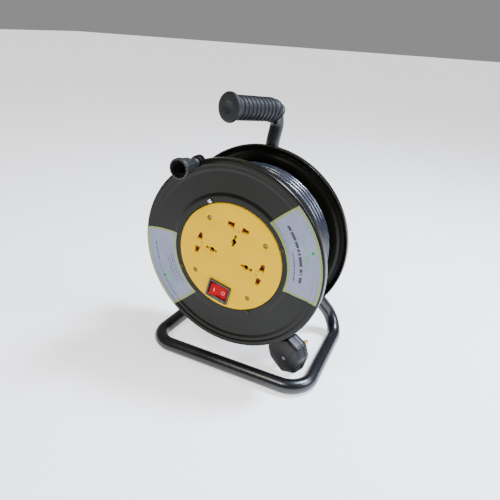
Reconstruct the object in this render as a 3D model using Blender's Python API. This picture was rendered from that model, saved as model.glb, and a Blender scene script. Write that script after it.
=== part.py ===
"""Extension cord reel on a bent steel tube stand.

A drum of two moulded flanges and a barrel turns on an axle behind it. Its front
carries a socket panel with three shuttered outlets and a rocker switch, a crank
knob and two labels. 25 m of mains cord is wound on the barrel and ends in a
13 A plug. Sizes are in metres and +Z is up. The reel's axis runs along Y, and
the sockets face -Y. Depths are measured along +Y from the front flange's face.
"""

import math

import bmesh
import bpy
from mathutils import Matrix, Vector

MM = 0.001
GAP = 0.3 * MM  # between pieces that touch
PLAY = 0.4 * MM  # between pieces that move on each other

# Stand
AXIS_HEIGHT = 161.9 * MM
BASE_TUBE_D = 19 * MM
BASE_HALF_WIDTH = 113.6 * MM
BASE_REAR_HALF_WIDTH = 107.6 * MM
BASE_FRONT_DEPTH = -4.8 * MM
BASE_REAR_DEPTH = 166 * MM
BASE_FRONT_BEND = 30 * MM
BASE_REAR_BEND = 28 * MM
UPRIGHT_END = (15 * MM, -15 * MM)  # x and z of each upright's end, from the axis
HANDLE_TUBE_D = 17.6 * MM
HANDLE_START = 14 * MM
HANDLE_KNEE = 118 * MM
HANDLE_TOP = 159.7 * MM
HANDLE_LEAN = 12 * MM
HANDLE_TURN = 18  # degrees that the handle is turned about its upright, to -X
HANDLE_REACH = 87 * MM
HANDLE_RISE = 9.2 * MM
HANDLE_BEND = 19 * MM
KNEE_BEND = 60 * MM
GRIP_D = 29 * MM
GRIP_GROOVE = 1.5 * MM
GRIP_RIBS = 11
GRIP_END_D = 34.6 * MM
GRIP_END_T = 5 * MM
GRIP_ROUND_BEND = 42  # degrees of the tube's bend that the grip covers
PLATE_T = 2.2 * MM
PLATE_WIDTH = 66 * MM
PLATE_HEIGHT = 74 * MM

# Drum
FLANGE_R = 120 * MM
FLANGE_T = 2.4 * MM
RIM_DEPTH = 9.5 * MM
HUB_DEPTH = 1.5 * MM  # of the ring about the panel, behind the rim's face
DISH_DEPTH = 2.7 * MM
BEAD_DEPTH = 1.3 * MM
DRUM_WIDTH = 97.3 * MM
BARREL_R = 75.5 * MM
BARREL_WALL = 3 * MM
AXLE_R = 8 * MM
BUSH_WALL = 2.7 * MM
BOSS_WALL = 4 * MM
BUSH_LENGTH = 34 * MM
FLANGE_SCREW_R = 72.3 * MM
FLANGE_SCREW_TURN = 22.5
SCREW_HEAD_R = 2.7 * MM
SCREW_SHANK_R = 1.5 * MM

# Socket panel
PANEL_R = 68.7 * MM
PANEL_DEPTH = 0.4 * MM
PANEL_T = 3.9 * MM
PANEL_BOSS_R = 49.4 * MM
PANEL_BOSS_T = 1.3 * MM
PANEL_SCREW_R = 54 * MM
LAYOUT_TURN = 75.5  # direction of the first outlet, in degrees
OUTLET_R = 43.5 * MM  # from the axis to the line of the live and neutral slots
PIN_HALF_SPAN = 9.75 * MM
SLOT_LENGTH = 9.2 * MM
SLOT_NARROW = 4.4 * MM
SLOT_WIDE = 7.4 * MM
EARTH_DROP = 19.5 * MM
SHUTTER_T = 1.5 * MM
CARRIER_R = 48.5 * MM
CARRIER_T = 14 * MM

# Rocker switch
SWITCH_R = 50.4 * MM
BEZEL_LENGTH = 31 * MM
BEZEL_WIDTH = 25.5 * MM
BEZEL_T = 2 * MM
SWITCH_LENGTH = 28.2 * MM
SWITCH_WIDTH = 21.6 * MM
SWITCH_DEPTH = 22 * MM
ROCKER_END_WALL = 1.9 * MM  # of the housing, past each end of the rocker
ROCKER_SIDE_WALL = 2 * MM
ROCKER_LENGTH = SWITCH_LENGTH - 2 * ROCKER_END_WALL
ROCKER_WIDTH = SWITCH_WIDTH - 2 * ROCKER_SIDE_WALL
ROCKER_TILT = 9.0

# Crank knob
KNOB_R = 119 * MM  # from the axis to the knob's own axis
KNOB_TURN = 112.9
KNOB_LENGTH = 36 * MM
KNOB_END_D = 23.5 * MM
KNOB_NECK_D = 11.6 * MM
KNOB_WALL = 2 * MM
SPINDLE_R = 2.6 * MM
KNOB_BOSS_R = 7.5 * MM

# Labels
LABEL_INNER_R = 75.4 * MM
LABEL_OUTER_R = 117.6 * MM
LABEL_T = 0.35 * MM
LABELS = (("label_right", 15.4, 33.5, 30.2), ("label_left", 200, 32.3, 28))

# Cord and plug
CORD_D = 7 * MM
LAYER_STEP = 6.05 * MM
LAYERS = 4
PLUG_WIDTH = 52 * MM
PLUG_HEIGHT = 48 * MM
PLUG_TIP_WIDTH = 22 * MM
PLUG_TOP_WIDTH = 27 * MM
COVER_T = 12 * MM
PLUG_BASE_T = 8 * MM
PLUG_CORD_PLAY = 1.1 * MM  # about the cord in its way into the plug
PLUG_AT = (71, 28, -101.5)  # the cord's way in, as millimetres from the drum's centre
PLUG_TILT = 22
PLUG_TURN = -18
TAIL_ROUTE = (
    (104.5, 31, 9.1), (103.4, 30.8, -18), (95.9, 30.5, -42.8), (84.9, 30.1, -62.1),
    (77.4, 29.8, -72.1), (72, 29.4, -80.8), (69.5, 28.9, -90.9), (71, 28, -101.5),
    (72.9, 27.4, -106.4),
)

FLANGE_SEGMENTS = 48


# Helpers -------------------------------------------------------------------


def clear_scene():
    for obj in list(bpy.data.objects):
        bpy.data.objects.remove(obj, do_unlink=True)


def material(name, color, roughness, metallic=0.0):
    mat = bpy.data.materials.new(name)
    mat.use_nodes = True
    shader = mat.node_tree.nodes["Principled BSDF"]
    shader.inputs["Base Color"].default_value = (*color, 1)
    shader.inputs["Roughness"].default_value = roughness
    shader.inputs["Metallic"].default_value = metallic
    mat.diffuse_color = (*color, 1)
    return mat


def empty(name, location, parent=None):
    obj = bpy.data.objects.new(name, None)
    bpy.context.collection.objects.link(obj)
    obj.parent = parent
    obj.location = location
    return obj


def add_object(name, data, mat, parent, location=(0, 0, 0)):
    obj = bpy.data.objects.new(name, data)
    bpy.context.collection.objects.link(obj)
    obj.parent = parent
    obj.location = location
    if mat:
        data.materials.append(mat)
    return obj


def mesh_object(name, bm, mat, parent, location=(0, 0, 0)):
    """An object from a bmesh, with doubles merged and faces turned outwards."""
    bmesh.ops.remove_doubles(bm, verts=bm.verts, dist=1e-7)
    bmesh.ops.recalc_face_normals(bm, faces=bm.faces)
    mesh = bpy.data.meshes.new(name)
    bm.to_mesh(mesh)
    bm.free()
    mesh.shade_smooth()
    mesh.set_sharp_from_angle(angle=math.radians(32))
    return add_object(name, mesh, mat, parent, location)


def skin(bm, rings, closed=False):
    """Faces between neighbouring rings of points, and caps unless it is closed."""
    rows = [[bm.verts.new(point) for point in ring] for ring in rings]
    count = len(rows[0])
    pairs = list(zip(rows, rows[1:]))
    if closed:
        pairs.append((rows[-1], rows[0]))
    for lower, upper in pairs:
        for i in range(count):
            j = (i + 1) % count
            bm.faces.new((lower[i], lower[j], upper[j], upper[i]))
    if not closed:
        bm.faces.new(rows[0])
        bm.faces.new(rows[-1])


def turned(name, profile, mat, parent, segments, location=(0, 0, 0)):
    """A solid turned about Y from a closed outline of (radius, depth) points."""
    bm = bmesh.new()
    verts = [bm.verts.new((radius, depth, 0)) for radius, depth in profile]
    edges = [bm.edges.new((a, b)) for a, b in zip(verts, verts[1:] + verts[:1])]
    bmesh.ops.spin(
        bm,
        geom=verts + edges,
        cent=(0, 0, 0),
        axis=(0, 1, 0),
        angle=math.tau,
        steps=segments,
        use_merge=True,
    )
    bmesh.ops.remove_doubles(bm, verts=bm.verts, dist=1e-7)
    bmesh.ops.dissolve_degenerate(bm, edges=bm.edges, dist=1e-7)
    return mesh_object(name, bm, mat, parent, location)


def sector(name, profile, mat, parent, middle, halves, steps):
    """Part of a turned solid: each point of its profile goes from middle - half
    to middle + half degrees, with a half of its own."""
    bm = bmesh.new()
    rings = []
    for i in range(steps + 1):
        ring = []
        for (radius, depth), half in zip(profile, halves):
            ring.append(polar(middle + half * (2 * i / steps - 1), radius, depth))
        rings.append(ring)
    skin(bm, rings)
    return mesh_object(name, bm, mat, parent)


def prism(name, outline, start, end, mat, parent, location=(0, 0, 0)):
    """A flat outline of (x, z) points, carried from depth start to depth end."""
    bm = bmesh.new()
    skin(bm, [[(x, depth, z) for x, z in outline] for depth in (start, end)])
    return mesh_object(name, bm, mat, parent, location)


def rectangle(width, height, x=0.0, z=0.0):
    half_w, half_h = width / 2, height / 2
    return [
        (x - half_w, z - half_h),
        (x + half_w, z - half_h),
        (x + half_w, z + half_h),
        (x - half_w, z + half_h),
    ]


def circle(radius, segments, x=0.0, z=0.0):
    return [
        (
            x + radius * math.cos(math.tau * i / segments),
            z + radius * math.sin(math.tau * i / segments),
        )
        for i in range(segments)
    ]


def rounded(outline, radius, steps=3):
    """The outline with each corner replaced by an arc."""
    points = []
    count = len(outline)
    for i, corner in enumerate(outline):
        corner = Vector(corner)
        before = (Vector(outline[i - 1]) - corner).normalized()
        after = (Vector(outline[(i + 1) % count]) - corner).normalized()
        half = before.angle(after) / 2
        middle = corner + (before + after).normalized() * radius / math.sin(half)
        first = corner + before * radius / math.tan(half) - middle
        last = corner + after * radius / math.tan(half) - middle
        for k in range(steps + 1):
            way = first.lerp(last, k / steps).normalized() * radius
            points.append(tuple(middle + way))
    return points


def moved(outline, turn, radius):
    """An outline in an outlet's own axes, moved out along the direction turn."""
    turn = math.radians(turn)
    out = (math.cos(turn), math.sin(turn))
    side = (out[1], -out[0])
    return [
        (
            side[0] * u + out[0] * (radius + v),
            side[1] * u + out[1] * (radius + v),
        )
        for u, v in outline
    ]


def polar(turn, radius, depth=0.0):
    turn = math.radians(turn)
    return Vector((radius * math.cos(turn), depth, radius * math.sin(turn)))


def combine(target, other, operation="DIFFERENCE"):
    """Cuts other from target, or joins it to target, and hides other."""
    other.hide_render = True
    other.hide_viewport = False
    other.display_type = "WIRE"
    change = target.modifiers.new(other.name, "BOOLEAN")
    change.operation = operation
    change.solver = "EXACT"
    change.object = other


def bent_path(corners, bends, step=12):
    """The points of a tube's centre line, with an arc of the given radius at
    each inner corner and a point every step degrees of it."""
    points = [Vector(corners[0])]
    for before, corner, after, radius in zip(
        corners, corners[1:], corners[2:], bends
    ):
        corner = Vector(corner)
        back = (Vector(before) - corner).normalized()
        ahead = (Vector(after) - corner).normalized()
        half = back.angle(ahead) / 2
        centre = corner + (back + ahead).normalized() * radius / math.sin(half)
        first = corner + back * radius / math.tan(half) - centre
        last = corner + ahead * radius / math.tan(half) - centre
        turn = math.pi - 2 * half
        count = max(2, math.ceil(math.degrees(turn) / step))
        for k in range(count + 1):
            way = (
                first * math.sin(turn * (1 - k / count))
                + last * math.sin(turn * k / count)
            ) / math.sin(turn)
            points.append(centre + way)
    points.append(Vector(corners[-1]))
    return points


def rod(name, points, diameter, mat, parent, resolution=4):
    """A round bar or cord along the points: a curve with a bevel and caps."""
    curve = bpy.data.curves.new(name, "CURVE")
    curve.dimensions = "3D"
    curve.bevel_depth = diameter / 2
    curve.bevel_resolution = resolution
    curve.use_fill_caps = True
    spline = curve.splines.new("POLY")
    spline.points.add(len(points) - 1)
    for spot, point in zip(spline.points, points):
        spot.co = (*point, 1)
    return add_object(name, curve, mat, parent)


def screw(name, place, head_r, shank_r, head_t, length, mat, parent, turn=0):
    """A pan head screw that points along +Y, with a cross recess in its head."""
    profile = [
        (0, 0),
        (head_r * 0.6, 0.12 * head_t),
        (head_r, 0.6 * head_t),
        (head_r, head_t),
        (shank_r, head_t),
        (shank_r, length - shank_r),
        (0, length),
    ]
    body = turned(name, profile, mat, parent, 12, place)
    arm, wide = head_r * 0.62, head_r * 0.15
    cross = [
        (-wide, -arm), (wide, -arm), (wide, -wide), (arm, -wide),
        (arm, wide), (wide, wide), (wide, arm), (-wide, arm),
        (-wide, wide), (-arm, wide), (-arm, -wide), (-wide, -wide),
    ]
    recess = prism(name + "_recess", cross, -head_t, head_t * 0.55, None, parent, place)
    recess.rotation_euler.y = math.radians(turn)
    combine(body, recess)
    return body


# Materials -----------------------------------------------------------------

clear_scene()
black_paint = material("black_paint", (0.012, 0.012, 0.014), 0.28)
black_moulding = material("black_moulding", (0.02, 0.02, 0.019), 0.42)
grip_rubber = material("grip_rubber", (0.022, 0.022, 0.024), 0.6)
knob_plastic = material("knob_plastic", (0.06, 0.06, 0.063), 0.5)
yellow_plastic = material("yellow_plastic", (1.0, 0.72, 0.0), 0.35)
shutter_plastic = material("shutter_plastic", (0.3, 0.05, 0.01), 0.5)
red_plastic = material("red_plastic", (0.75, 0.005, 0.02), 0.25)
switch_plastic = material("switch_plastic", (0.03, 0.022, 0.015), 0.4)
carrier_plastic = material("carrier_plastic", (0.06, 0.03, 0.015), 0.5)
chrome = material("chrome", (0.75, 0.75, 0.76), 0.18, 1.0)
zinc = material("zinc", (0.55, 0.56, 0.58), 0.35, 1.0)
brass = material("brass", (0.72, 0.5, 0.16), 0.3, 1.0)
bush_nylon = material("bush_nylon", (0.7, 0.68, 0.6), 0.5)
label_film = material("label_film", (0.5, 0.52, 0.6), 0.4)
cord_pvc = material("cord_pvc", (0.015, 0.015, 0.017), 0.25)
plug_plastic = material("plug_plastic", (0.018, 0.018, 0.019), 0.35)


# Frame of the reel ---------------------------------------------------------


def base_path():
    end_x, end_z = UPRIGHT_END
    low = BASE_TUBE_D / 2 - AXIS_HEIGHT
    rear = DRUM_WIDTH + BASE_TUBE_D / 2 + 4 * PLAY
    right = [
        (end_x, rear, end_z),
        (BASE_REAR_HALF_WIDTH, BASE_REAR_DEPTH, low),
        (BASE_HALF_WIDTH, BASE_FRONT_DEPTH, low),
    ]
    corners = right + [(-x, y, z) for x, y, z in reversed(right)]
    bends = (BASE_REAR_BEND, BASE_FRONT_BEND, BASE_FRONT_BEND, BASE_REAR_BEND)
    return bent_path(corners, bends, 9)


base_points = base_path()
nearest = -KNOB_LENGTH
farthest = max(point.y for point in base_points) + BASE_TUBE_D / 2
front_y = -(nearest + farthest) / 2
reel_frame = empty("reel_frame", (0, front_y, AXIS_HEIGHT))
drum_axis = empty("drum_axis", (0, 0, 0), reel_frame)
tube_depth = DRUM_WIDTH + BASE_TUBE_D / 2 + 4 * PLAY


# Stand ---------------------------------------------------------------------


def handle_point(back, height):
    """A point of the handle's own plane, which is turned about its upright."""
    turn = math.radians(HANDLE_TURN)
    return (back * math.sin(turn), tube_depth + back * math.cos(turn), height)


def handle_path():
    front = HANDLE_LEAN - HANDLE_REACH
    corners = [
        handle_point(0, HANDLE_START),
        handle_point(0, HANDLE_KNEE),
        handle_point(HANDLE_LEAN, HANDLE_TOP),
        handle_point(front, HANDLE_TOP + HANDLE_RISE),
    ]
    return bent_path(corners, (KNEE_BEND, HANDLE_BEND), 10)


def make_stand():
    rod("base_tube", base_points, BASE_TUBE_D, black_paint, reel_frame)
    rod("handle_tube", handle_path(), HANDLE_TUBE_D, black_paint, reel_frame)
    plate_back = tube_depth - BASE_TUBE_D / 2 - GAP
    outline = rounded(
        [
            (-PLATE_WIDTH / 2, -PLATE_HEIGHT / 2),
            (PLATE_WIDTH / 2, -PLATE_HEIGHT / 2),
            (PLATE_WIDTH / 3, PLATE_HEIGHT / 2),
            (-PLATE_WIDTH / 3, PLATE_HEIGHT / 2),
        ],
        9 * MM,
    )
    plate = prism(
        "hub_plate", outline, plate_back - PLATE_T, plate_back, black_paint, reel_frame
    )
    hole = turned(
        "hub_plate_hole",
        [(0, 0), (AXLE_R + GAP, 0), (AXLE_R + GAP, DRUM_WIDTH * 2), (0, DRUM_WIDTH * 2)],
        None,
        reel_frame,
        24,
    )
    combine(plate, hole)
    return plate_back


def make_axle(plate_back):
    """The bolt through the plate, and the washer and nut that hold the drum on it."""
    head_t, nut_t, washer_t = 5.5 * MM, 5 * MM, 1.6 * MM
    thread_r = 5 * MM
    shoulder = boss_end - BUSH_LENGTH - 2 * PLAY - bush_flange_t
    head_start = plate_back + GAP
    tip = shoulder - washer_t - nut_t - 3 * MM
    turned(
        "axle",
        [
            (0, tip),
            (thread_r - 0.6 * MM, tip),
            (thread_r, tip + MM),
            (thread_r, shoulder),
            (AXLE_R, shoulder),
            (AXLE_R, head_start),
            (AXLE_R * 1.35, head_start),
            (AXLE_R * 1.35, head_start + head_t * 0.8),
            (AXLE_R * 1.1, head_start + head_t),
            (0, head_start + head_t),
        ],
        zinc,
        reel_frame,
        24,
    )
    washer_end = shoulder - GAP
    turned(
        "axle_washer",
        [
            (thread_r + GAP, washer_end - washer_t),
            (13 * MM, washer_end - washer_t),
            (13 * MM, washer_end),
            (thread_r + GAP, washer_end),
        ],
        zinc,
        reel_frame,
        24,
    )
    nut_end = washer_end - washer_t - GAP
    nut = prism(
        "axle_nut", circle(9.2 * MM, 6), nut_end - nut_t, nut_end, zinc, reel_frame
    )
    bore = prism(
        "axle_nut_bore",
        circle(thread_r + GAP, 16),
        nut_end - nut_t * 2,
        nut_end + nut_t,
        None,
        reel_frame,
    )
    combine(nut, bore)


def ring_at(centre, along, radius, segments):
    """Points of a circle about centre, square to the direction along."""
    side = along.cross(Vector((0, 0, 1))).normalized()
    up = side.cross(along).normalized()
    return [
        centre
        + side * radius * math.cos(math.tau * i / segments)
        + up * radius * math.sin(math.tau * i / segments)
        for i in range(segments)
    ]


def point_on(path, distance):
    """The point at a distance along a path, which runs on straight at its ends."""
    reached = 0.0
    for before, after in zip(path, path[1:]):
        stretch = (after - before).length
        if distance <= reached + stretch:
            break
        reached += stretch
    return before + (after - before).normalized() * (distance - reached)


def place_on(path, distance):
    """The point at a distance along a path and the direction of travel there."""
    reach = 1 * MM
    ahead = point_on(path, distance + reach)
    behind = point_on(path, distance - reach)
    return point_on(path, distance), (ahead - behind).normalized()


def make_grip():
    """A ribbed sleeve pushed over the handle's front run, with a wide end disc.
    Its last ribs lie on the tube's bend."""
    path = [Vector(point) for point in reversed(handle_path())]
    run = (path[1] - path[0]).length + HANDLE_BEND * math.radians(GRIP_ROUND_BEND)
    bore_r = HANDLE_TUBE_D / 2 + GAP
    full_r = GRIP_D / 2
    groove_r = full_r - GRIP_GROOVE
    segments = 20
    outer = [(-GRIP_END_T - GAP, 0.4 * GRIP_END_D), (-GRIP_END_T + MM, GRIP_END_D / 2)]
    outer += [(-0.5 * MM, GRIP_END_D / 2), (2 * MM, full_r)]
    first = 6 * MM
    pitch = (run - first) / GRIP_RIBS
    for i in range(GRIP_RIBS):
        start = first + i * pitch
        outer += [(start, full_r), (start + 0.3 * pitch, groove_r)]
        outer += [(start + 0.5 * pitch, groove_r), (start + 0.8 * pitch, full_r)]
    outer.append((run, full_r - MM))
    rings = [ring_at(*place_on(path, s), r, segments) for s, r in outer]
    joints = [-GAP]
    for before, after in zip(path, path[1:]):
        joints.append(max(joints[-1], 0) + (after - before).length)
    inner = [run] + [s for s in reversed(joints) if s < run - MM]
    rings += [ring_at(*place_on(path, s), bore_r, segments) for s in inner]
    bm = bmesh.new()
    skin(bm, rings)
    return mesh_object("grip", bm, grip_rubber, reel_frame)


# Drum ----------------------------------------------------------------------


def plate_faces():
    """The flange's outer face from the panel's seat to its rim, as (radius,
    depth) points: a hub ring, a shallow dish, a low bead and a rounded rim."""
    hub_r = BARREL_R + 1 * MM
    return [
        (hub_r, HUB_DEPTH),
        (hub_r + 4 * MM, DISH_DEPTH),
        (FLANGE_R - 14.5 * MM, DISH_DEPTH),
        (FLANGE_R - 11.5 * MM, BEAD_DEPTH),
        (FLANGE_R - 8 * MM, BEAD_DEPTH),
        (FLANGE_R - 6 * MM, 0.0),
        (FLANGE_R - 2.2 * MM, 0.0),
        (FLANGE_R - 0.6 * MM, 0.7 * MM),
        (FLANGE_R, 2.3 * MM),
    ]


def flange_outline(inner):
    """The flange's closed outline: the given inner points, then the outer face,
    the rim and the inner face."""
    face = plate_faces()
    skirt_r = FLANGE_R - FLANGE_T
    back = [(r, depth + FLANGE_T) for r, depth in reversed(face[:6])]
    rim = [(FLANGE_R, RIM_DEPTH), (skirt_r, RIM_DEPTH), (skirt_r, FLANGE_T + 2 * MM)]
    return inner[:-1] + face + rim + back + inner[-1:]


def drilled(obj, spots, radius, start, end, parent):
    """Round holes through obj at the (x, z) spots, from depth start to depth end."""
    for i, (x, z) in enumerate(spots):
        drill = prism(
            f"{obj.name}_drill_{i}", circle(radius, 12, x, z), start, end, None, parent
        )
        combine(obj, drill)


flange_screw_spots = [
    (polar(FLANGE_SCREW_TURN + 90 * k, FLANGE_SCREW_R).x,
     polar(FLANGE_SCREW_TURN + 90 * k, FLANGE_SCREW_R).z)
    for k in range(4)
]
panel_screw_spots = [
    (polar(LAYOUT_TURN + 45 + 90 * k, PANEL_SCREW_R).x,
     polar(LAYOUT_TURN + 45 + 90 * k, PANEL_SCREW_R).z)
    for k in range(4)
]
outlet_turns = {"a": LAYOUT_TURN, "b": LAYOUT_TURN + 90, "c": LAYOUT_TURN - 90}
switch_turn = LAYOUT_TURN + 180
panel_front = PANEL_DEPTH
panel_back = PANEL_DEPTH + PANEL_T
seat_depth = panel_back + GAP
seat_back = seat_depth + FLANGE_T
bush_flange_t = 2 * MM
web_depth = 3 * MM
boss_end = DRUM_WIDTH - 2.1 * MM
knob_at = polar(KNOB_TURN, KNOB_R)


def make_front_flange():
    seat_r = PANEL_R + 2 * GAP
    ledge_r = PANEL_BOSS_R + 2 * GAP
    inner = [
        (ledge_r, seat_back),
        (ledge_r, seat_depth),
        (seat_r, seat_depth),
        (seat_r, HUB_DEPTH),
        (BARREL_R, seat_back),
    ]
    flange = turned(
        "front_flange", flange_outline(inner), black_moulding, drum_axis, FLANGE_SEGMENTS
    )
    boss = turned(
        "knob_boss",
        [(0, 0), (KNOB_BOSS_R, 0), (KNOB_BOSS_R, RIM_DEPTH), (0, RIM_DEPTH)],
        None,
        drum_axis,
        20,
        knob_at,
    )
    combine(flange, boss, "UNION")
    drilled(flange, [(knob_at.x, knob_at.z)], SPINDLE_R + GAP, -MM, RIM_DEPTH + MM, drum_axis)
    drill_end = seat_back + MM
    drilled(flange, flange_screw_spots, SCREW_SHANK_R + GAP, -MM, drill_end, drum_axis)
    drilled(flange, panel_screw_spots, SCREW_SHANK_R + GAP, MM, drill_end, drum_axis)
    window = moved(
        rectangle(SWITCH_LENGTH + 4 * GAP, SWITCH_WIDTH + 4 * GAP), switch_turn, SWITCH_R
    )
    combine(flange, prism("flange_window", window, -MM, drill_end, None, drum_axis))
    return flange


def make_rear_flange():
    """The same plate turned round, closed in the middle by a boss for the bush."""
    bore_r = AXLE_R + PLAY + BUSH_WALL + GAP
    boss_r = bore_r + BOSS_WALL
    boss_top = DRUM_WIDTH - boss_end
    boss_low = boss_top + BUSH_LENGTH
    inner = [
        (boss_r, web_depth + FLANGE_T),
        (boss_r, boss_low),
        (bore_r, boss_low),
        (bore_r, boss_top),
        (boss_r, boss_top),
        (boss_r + MM, web_depth),
        (PANEL_R, web_depth),
        (PANEL_R + MM, HUB_DEPTH),
        (BARREL_R, web_depth + FLANGE_T),
    ]
    outline = [(r, DRUM_WIDTH - depth) for r, depth in flange_outline(inner)]
    turned("rear_flange", outline, black_moulding, drum_axis, FLANGE_SEGMENTS)
    bush_out = bore_r - GAP
    bush_in = AXLE_R + PLAY
    start = DRUM_WIDTH - boss_low - bush_flange_t - GAP
    step = DRUM_WIDTH - boss_low - GAP
    turned(
        "bearing_bush",
        [
            (bush_in, start),
            (bush_out + 2.5 * MM, start),
            (bush_out + 2.5 * MM, step),
            (bush_out, step),
            (bush_out, boss_end),
            (bush_in, boss_end),
        ],
        bush_nylon,
        drum_axis,
        24,
    )


def make_barrel():
    start = seat_back + GAP
    end = DRUM_WIDTH - web_depth - FLANGE_T - GAP
    inner_r = BARREL_R - BARREL_WALL
    barrel = turned(
        "drum_barrel",
        [(inner_r, start), (BARREL_R, start), (BARREL_R, end), (inner_r, end)],
        black_moulding,
        drum_axis,
        FLANGE_SEGMENTS,
    )
    boss_r = SCREW_SHANK_R + 2.2 * MM
    for i, (x, z) in enumerate(flange_screw_spots):
        inward = 1 - 0.8 * MM / FLANGE_SCREW_R
        post = prism(
            f"barrel_post_{i}",
            circle(boss_r, 12, x * inward, z * inward),
            start,
            start + 22 * MM,
            None,
            drum_axis,
        )
        combine(barrel, post, "UNION")
    drilled(barrel, flange_screw_spots, SCREW_SHANK_R + GAP, 0, start + 14 * MM, drum_axis)
    combine(barrel, cord_hole(CORD_D / 2 + 2.2 * MM, "cord_hole"))
    return barrel


cord_hole_turn = 330
cord_hole_depth = 16.5 * MM


def cord_hole(radius, name):
    """A round bar that stands square to the barrel at the cord's way in."""
    bm = bmesh.new()
    out = polar(cord_hole_turn, 1)
    centre = Vector((0, cord_hole_depth, 0))
    rings = []
    for reach in (BARREL_R - 12 * MM, BARREL_R + 12 * MM):
        across = out.cross(Vector((0, 1, 0)))
        rings.append(
            [
                centre + out * reach + (across * c + Vector((0, s, 0))) * radius
                for c, s in circle(1, 16)
            ]
        )
    skin(bm, rings)
    return mesh_object(name, bm, None, drum_axis)


def make_cord_bush():
    """The ring that lines the hole where the cord leaves the barrel."""
    bm = bmesh.new()
    out = polar(cord_hole_turn, 1)
    across = out.cross(Vector((0, 1, 0)))
    centre = Vector((0, cord_hole_depth, 0))
    bore = CORD_D / 2 + GAP
    wall = CORD_D / 2 + 2.2 * MM - GAP
    inside = BARREL_R - BARREL_WALL - 2 * GAP
    spots = [
        (bore, inside - 1.8 * MM),
        (wall + 2 * MM, inside - 1.8 * MM),
        (wall + 2 * MM, inside - GAP),
        (wall, inside - GAP),
        (wall, BARREL_R - 0.8 * MM),
        (bore, BARREL_R - 0.8 * MM),
    ]
    rings = []
    for c, s in circle(1, 16):
        way = across * c + Vector((0, s, 0))
        rings.append([centre + way * r + out * reach for r, reach in spots])
    skin(bm, rings, closed=True)
    return mesh_object("cord_bush", bm, black_moulding, drum_axis)


def make_flange_screws():
    for i, (x, z) in enumerate(flange_screw_spots):
        screw(
            f"flange_screw_{i + 1}",
            (x, HUB_DEPTH - GAP - 1.8 * MM, z),
            SCREW_HEAD_R, SCREW_SHANK_R, 1.8 * MM, 14 * MM, chrome, drum_axis, 20 + 35 * i,
        )


# Socket panel --------------------------------------------------------------


def slot_outline(side):
    """A wedge that widens towards the middle of the outlet; side is -1 or 1."""
    near = PIN_HALF_SPAN - SLOT_LENGTH / 2
    far = PIN_HALF_SPAN + SLOT_LENGTH / 2
    return [
        (side * near, -SLOT_WIDE / 2),
        (side * far, -SLOT_NARROW / 2),
        (side * far, SLOT_NARROW / 2),
        (side * near, SLOT_WIDE / 2),
    ]


def earth_half_width(v):
    """Half the earth slot's width at v: a round hole, a neck, a larger round hole
    and a short tail, from the live and neutral slots inwards."""
    small_r, large_r, tail = 2.0 * MM, 3.3 * MM, 1.5 * MM
    small_v, large_v = -12.5 * MM, -EARTH_DROP
    width = 0.8 * MM
    width = max(width, math.sqrt(max(0.0, small_r**2 - (v - small_v) ** 2)))
    width = max(width, math.sqrt(max(0.0, large_r**2 - (v - large_v) ** 2)))
    return max(width, tail) if v < large_v else width


def earth_outline():
    top, bottom, count = -10.7 * MM, -EARTH_DROP - 6.8 * MM, 13
    levels = [top + (bottom - top) * i / count for i in range(count + 1)]
    right = [(earth_half_width(v), v) for v in levels]
    return right + [(-w, v) for w, v in reversed(right)]


def make_panel():
    panel = turned(
        "socket_panel",
        [
            (0, panel_front),
            (PANEL_R - 1.2 * MM, panel_front),
            (PANEL_R - 0.3 * MM, panel_front + 0.4 * MM),
            (PANEL_R, panel_front + 1.3 * MM),
            (PANEL_R, panel_back),
            (PANEL_BOSS_R, panel_back),
            (PANEL_BOSS_R, panel_back + PANEL_BOSS_T),
            (0, panel_back + PANEL_BOSS_T),
        ],
        yellow_plastic,
        drum_axis,
        FLANGE_SEGMENTS,
    )
    for name, turn in outlet_turns.items():
        shapes = {
            "live": slot_outline(-1),
            "neutral": slot_outline(1),
            "earth": earth_outline(),
        }
        for pin, shape in shapes.items():
            outline = moved(shape, turn, OUTLET_R)
            cutter = prism(
                f"slot_{name}_{pin}", outline, -5 * MM, 8 * MM, None, drum_axis
            )
            combine(panel, cutter)
    window = moved(
        rectangle(SWITCH_LENGTH + 2 * GAP, SWITCH_WIDTH + 2 * GAP), switch_turn, SWITCH_R
    )
    combine(panel, prism("panel_window", window, -5 * MM, 8 * MM, None, drum_axis))
    drilled(
        panel, panel_screw_spots, SCREW_HEAD_R + 0.5 * MM, -3 * MM, panel_back - 1.4 * MM,
        drum_axis,
    )
    for i, (x, z) in enumerate(panel_screw_spots):
        drill = prism(
            f"panel_bore_{i}", circle(SCREW_SHANK_R + GAP, 12, x, z), -3 * MM, 8 * MM, None,
            drum_axis,
        )
        combine(panel, drill)
        screw(
            f"panel_screw_{i + 1}",
            (x, panel_back - 1.4 * MM - GAP - 1.2 * MM, z),
            SCREW_HEAD_R, SCREW_SHANK_R, 1.2 * MM, 12 * MM, zinc, drum_axis, 50 * i,
        )


def make_shutters():
    """A plate behind each outlet that closes its live and neutral slots, and
    slides towards the panel's middle when a plug is pushed in."""
    start = panel_back + PANEL_BOSS_T + GAP
    width = 2 * (PIN_HALF_SPAN + SLOT_LENGTH / 2) + 1.2 * MM
    for name, turn in outlet_turns.items():
        outline = moved(rectangle(width, SLOT_WIDE + 1.6 * MM), turn, 0)
        prism(
            f"shutter_{name}", outline, start, start + SHUTTER_T, shutter_plastic,
            drum_axis, polar(turn, OUTLET_R - 0.4 * MM),
        )


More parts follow.
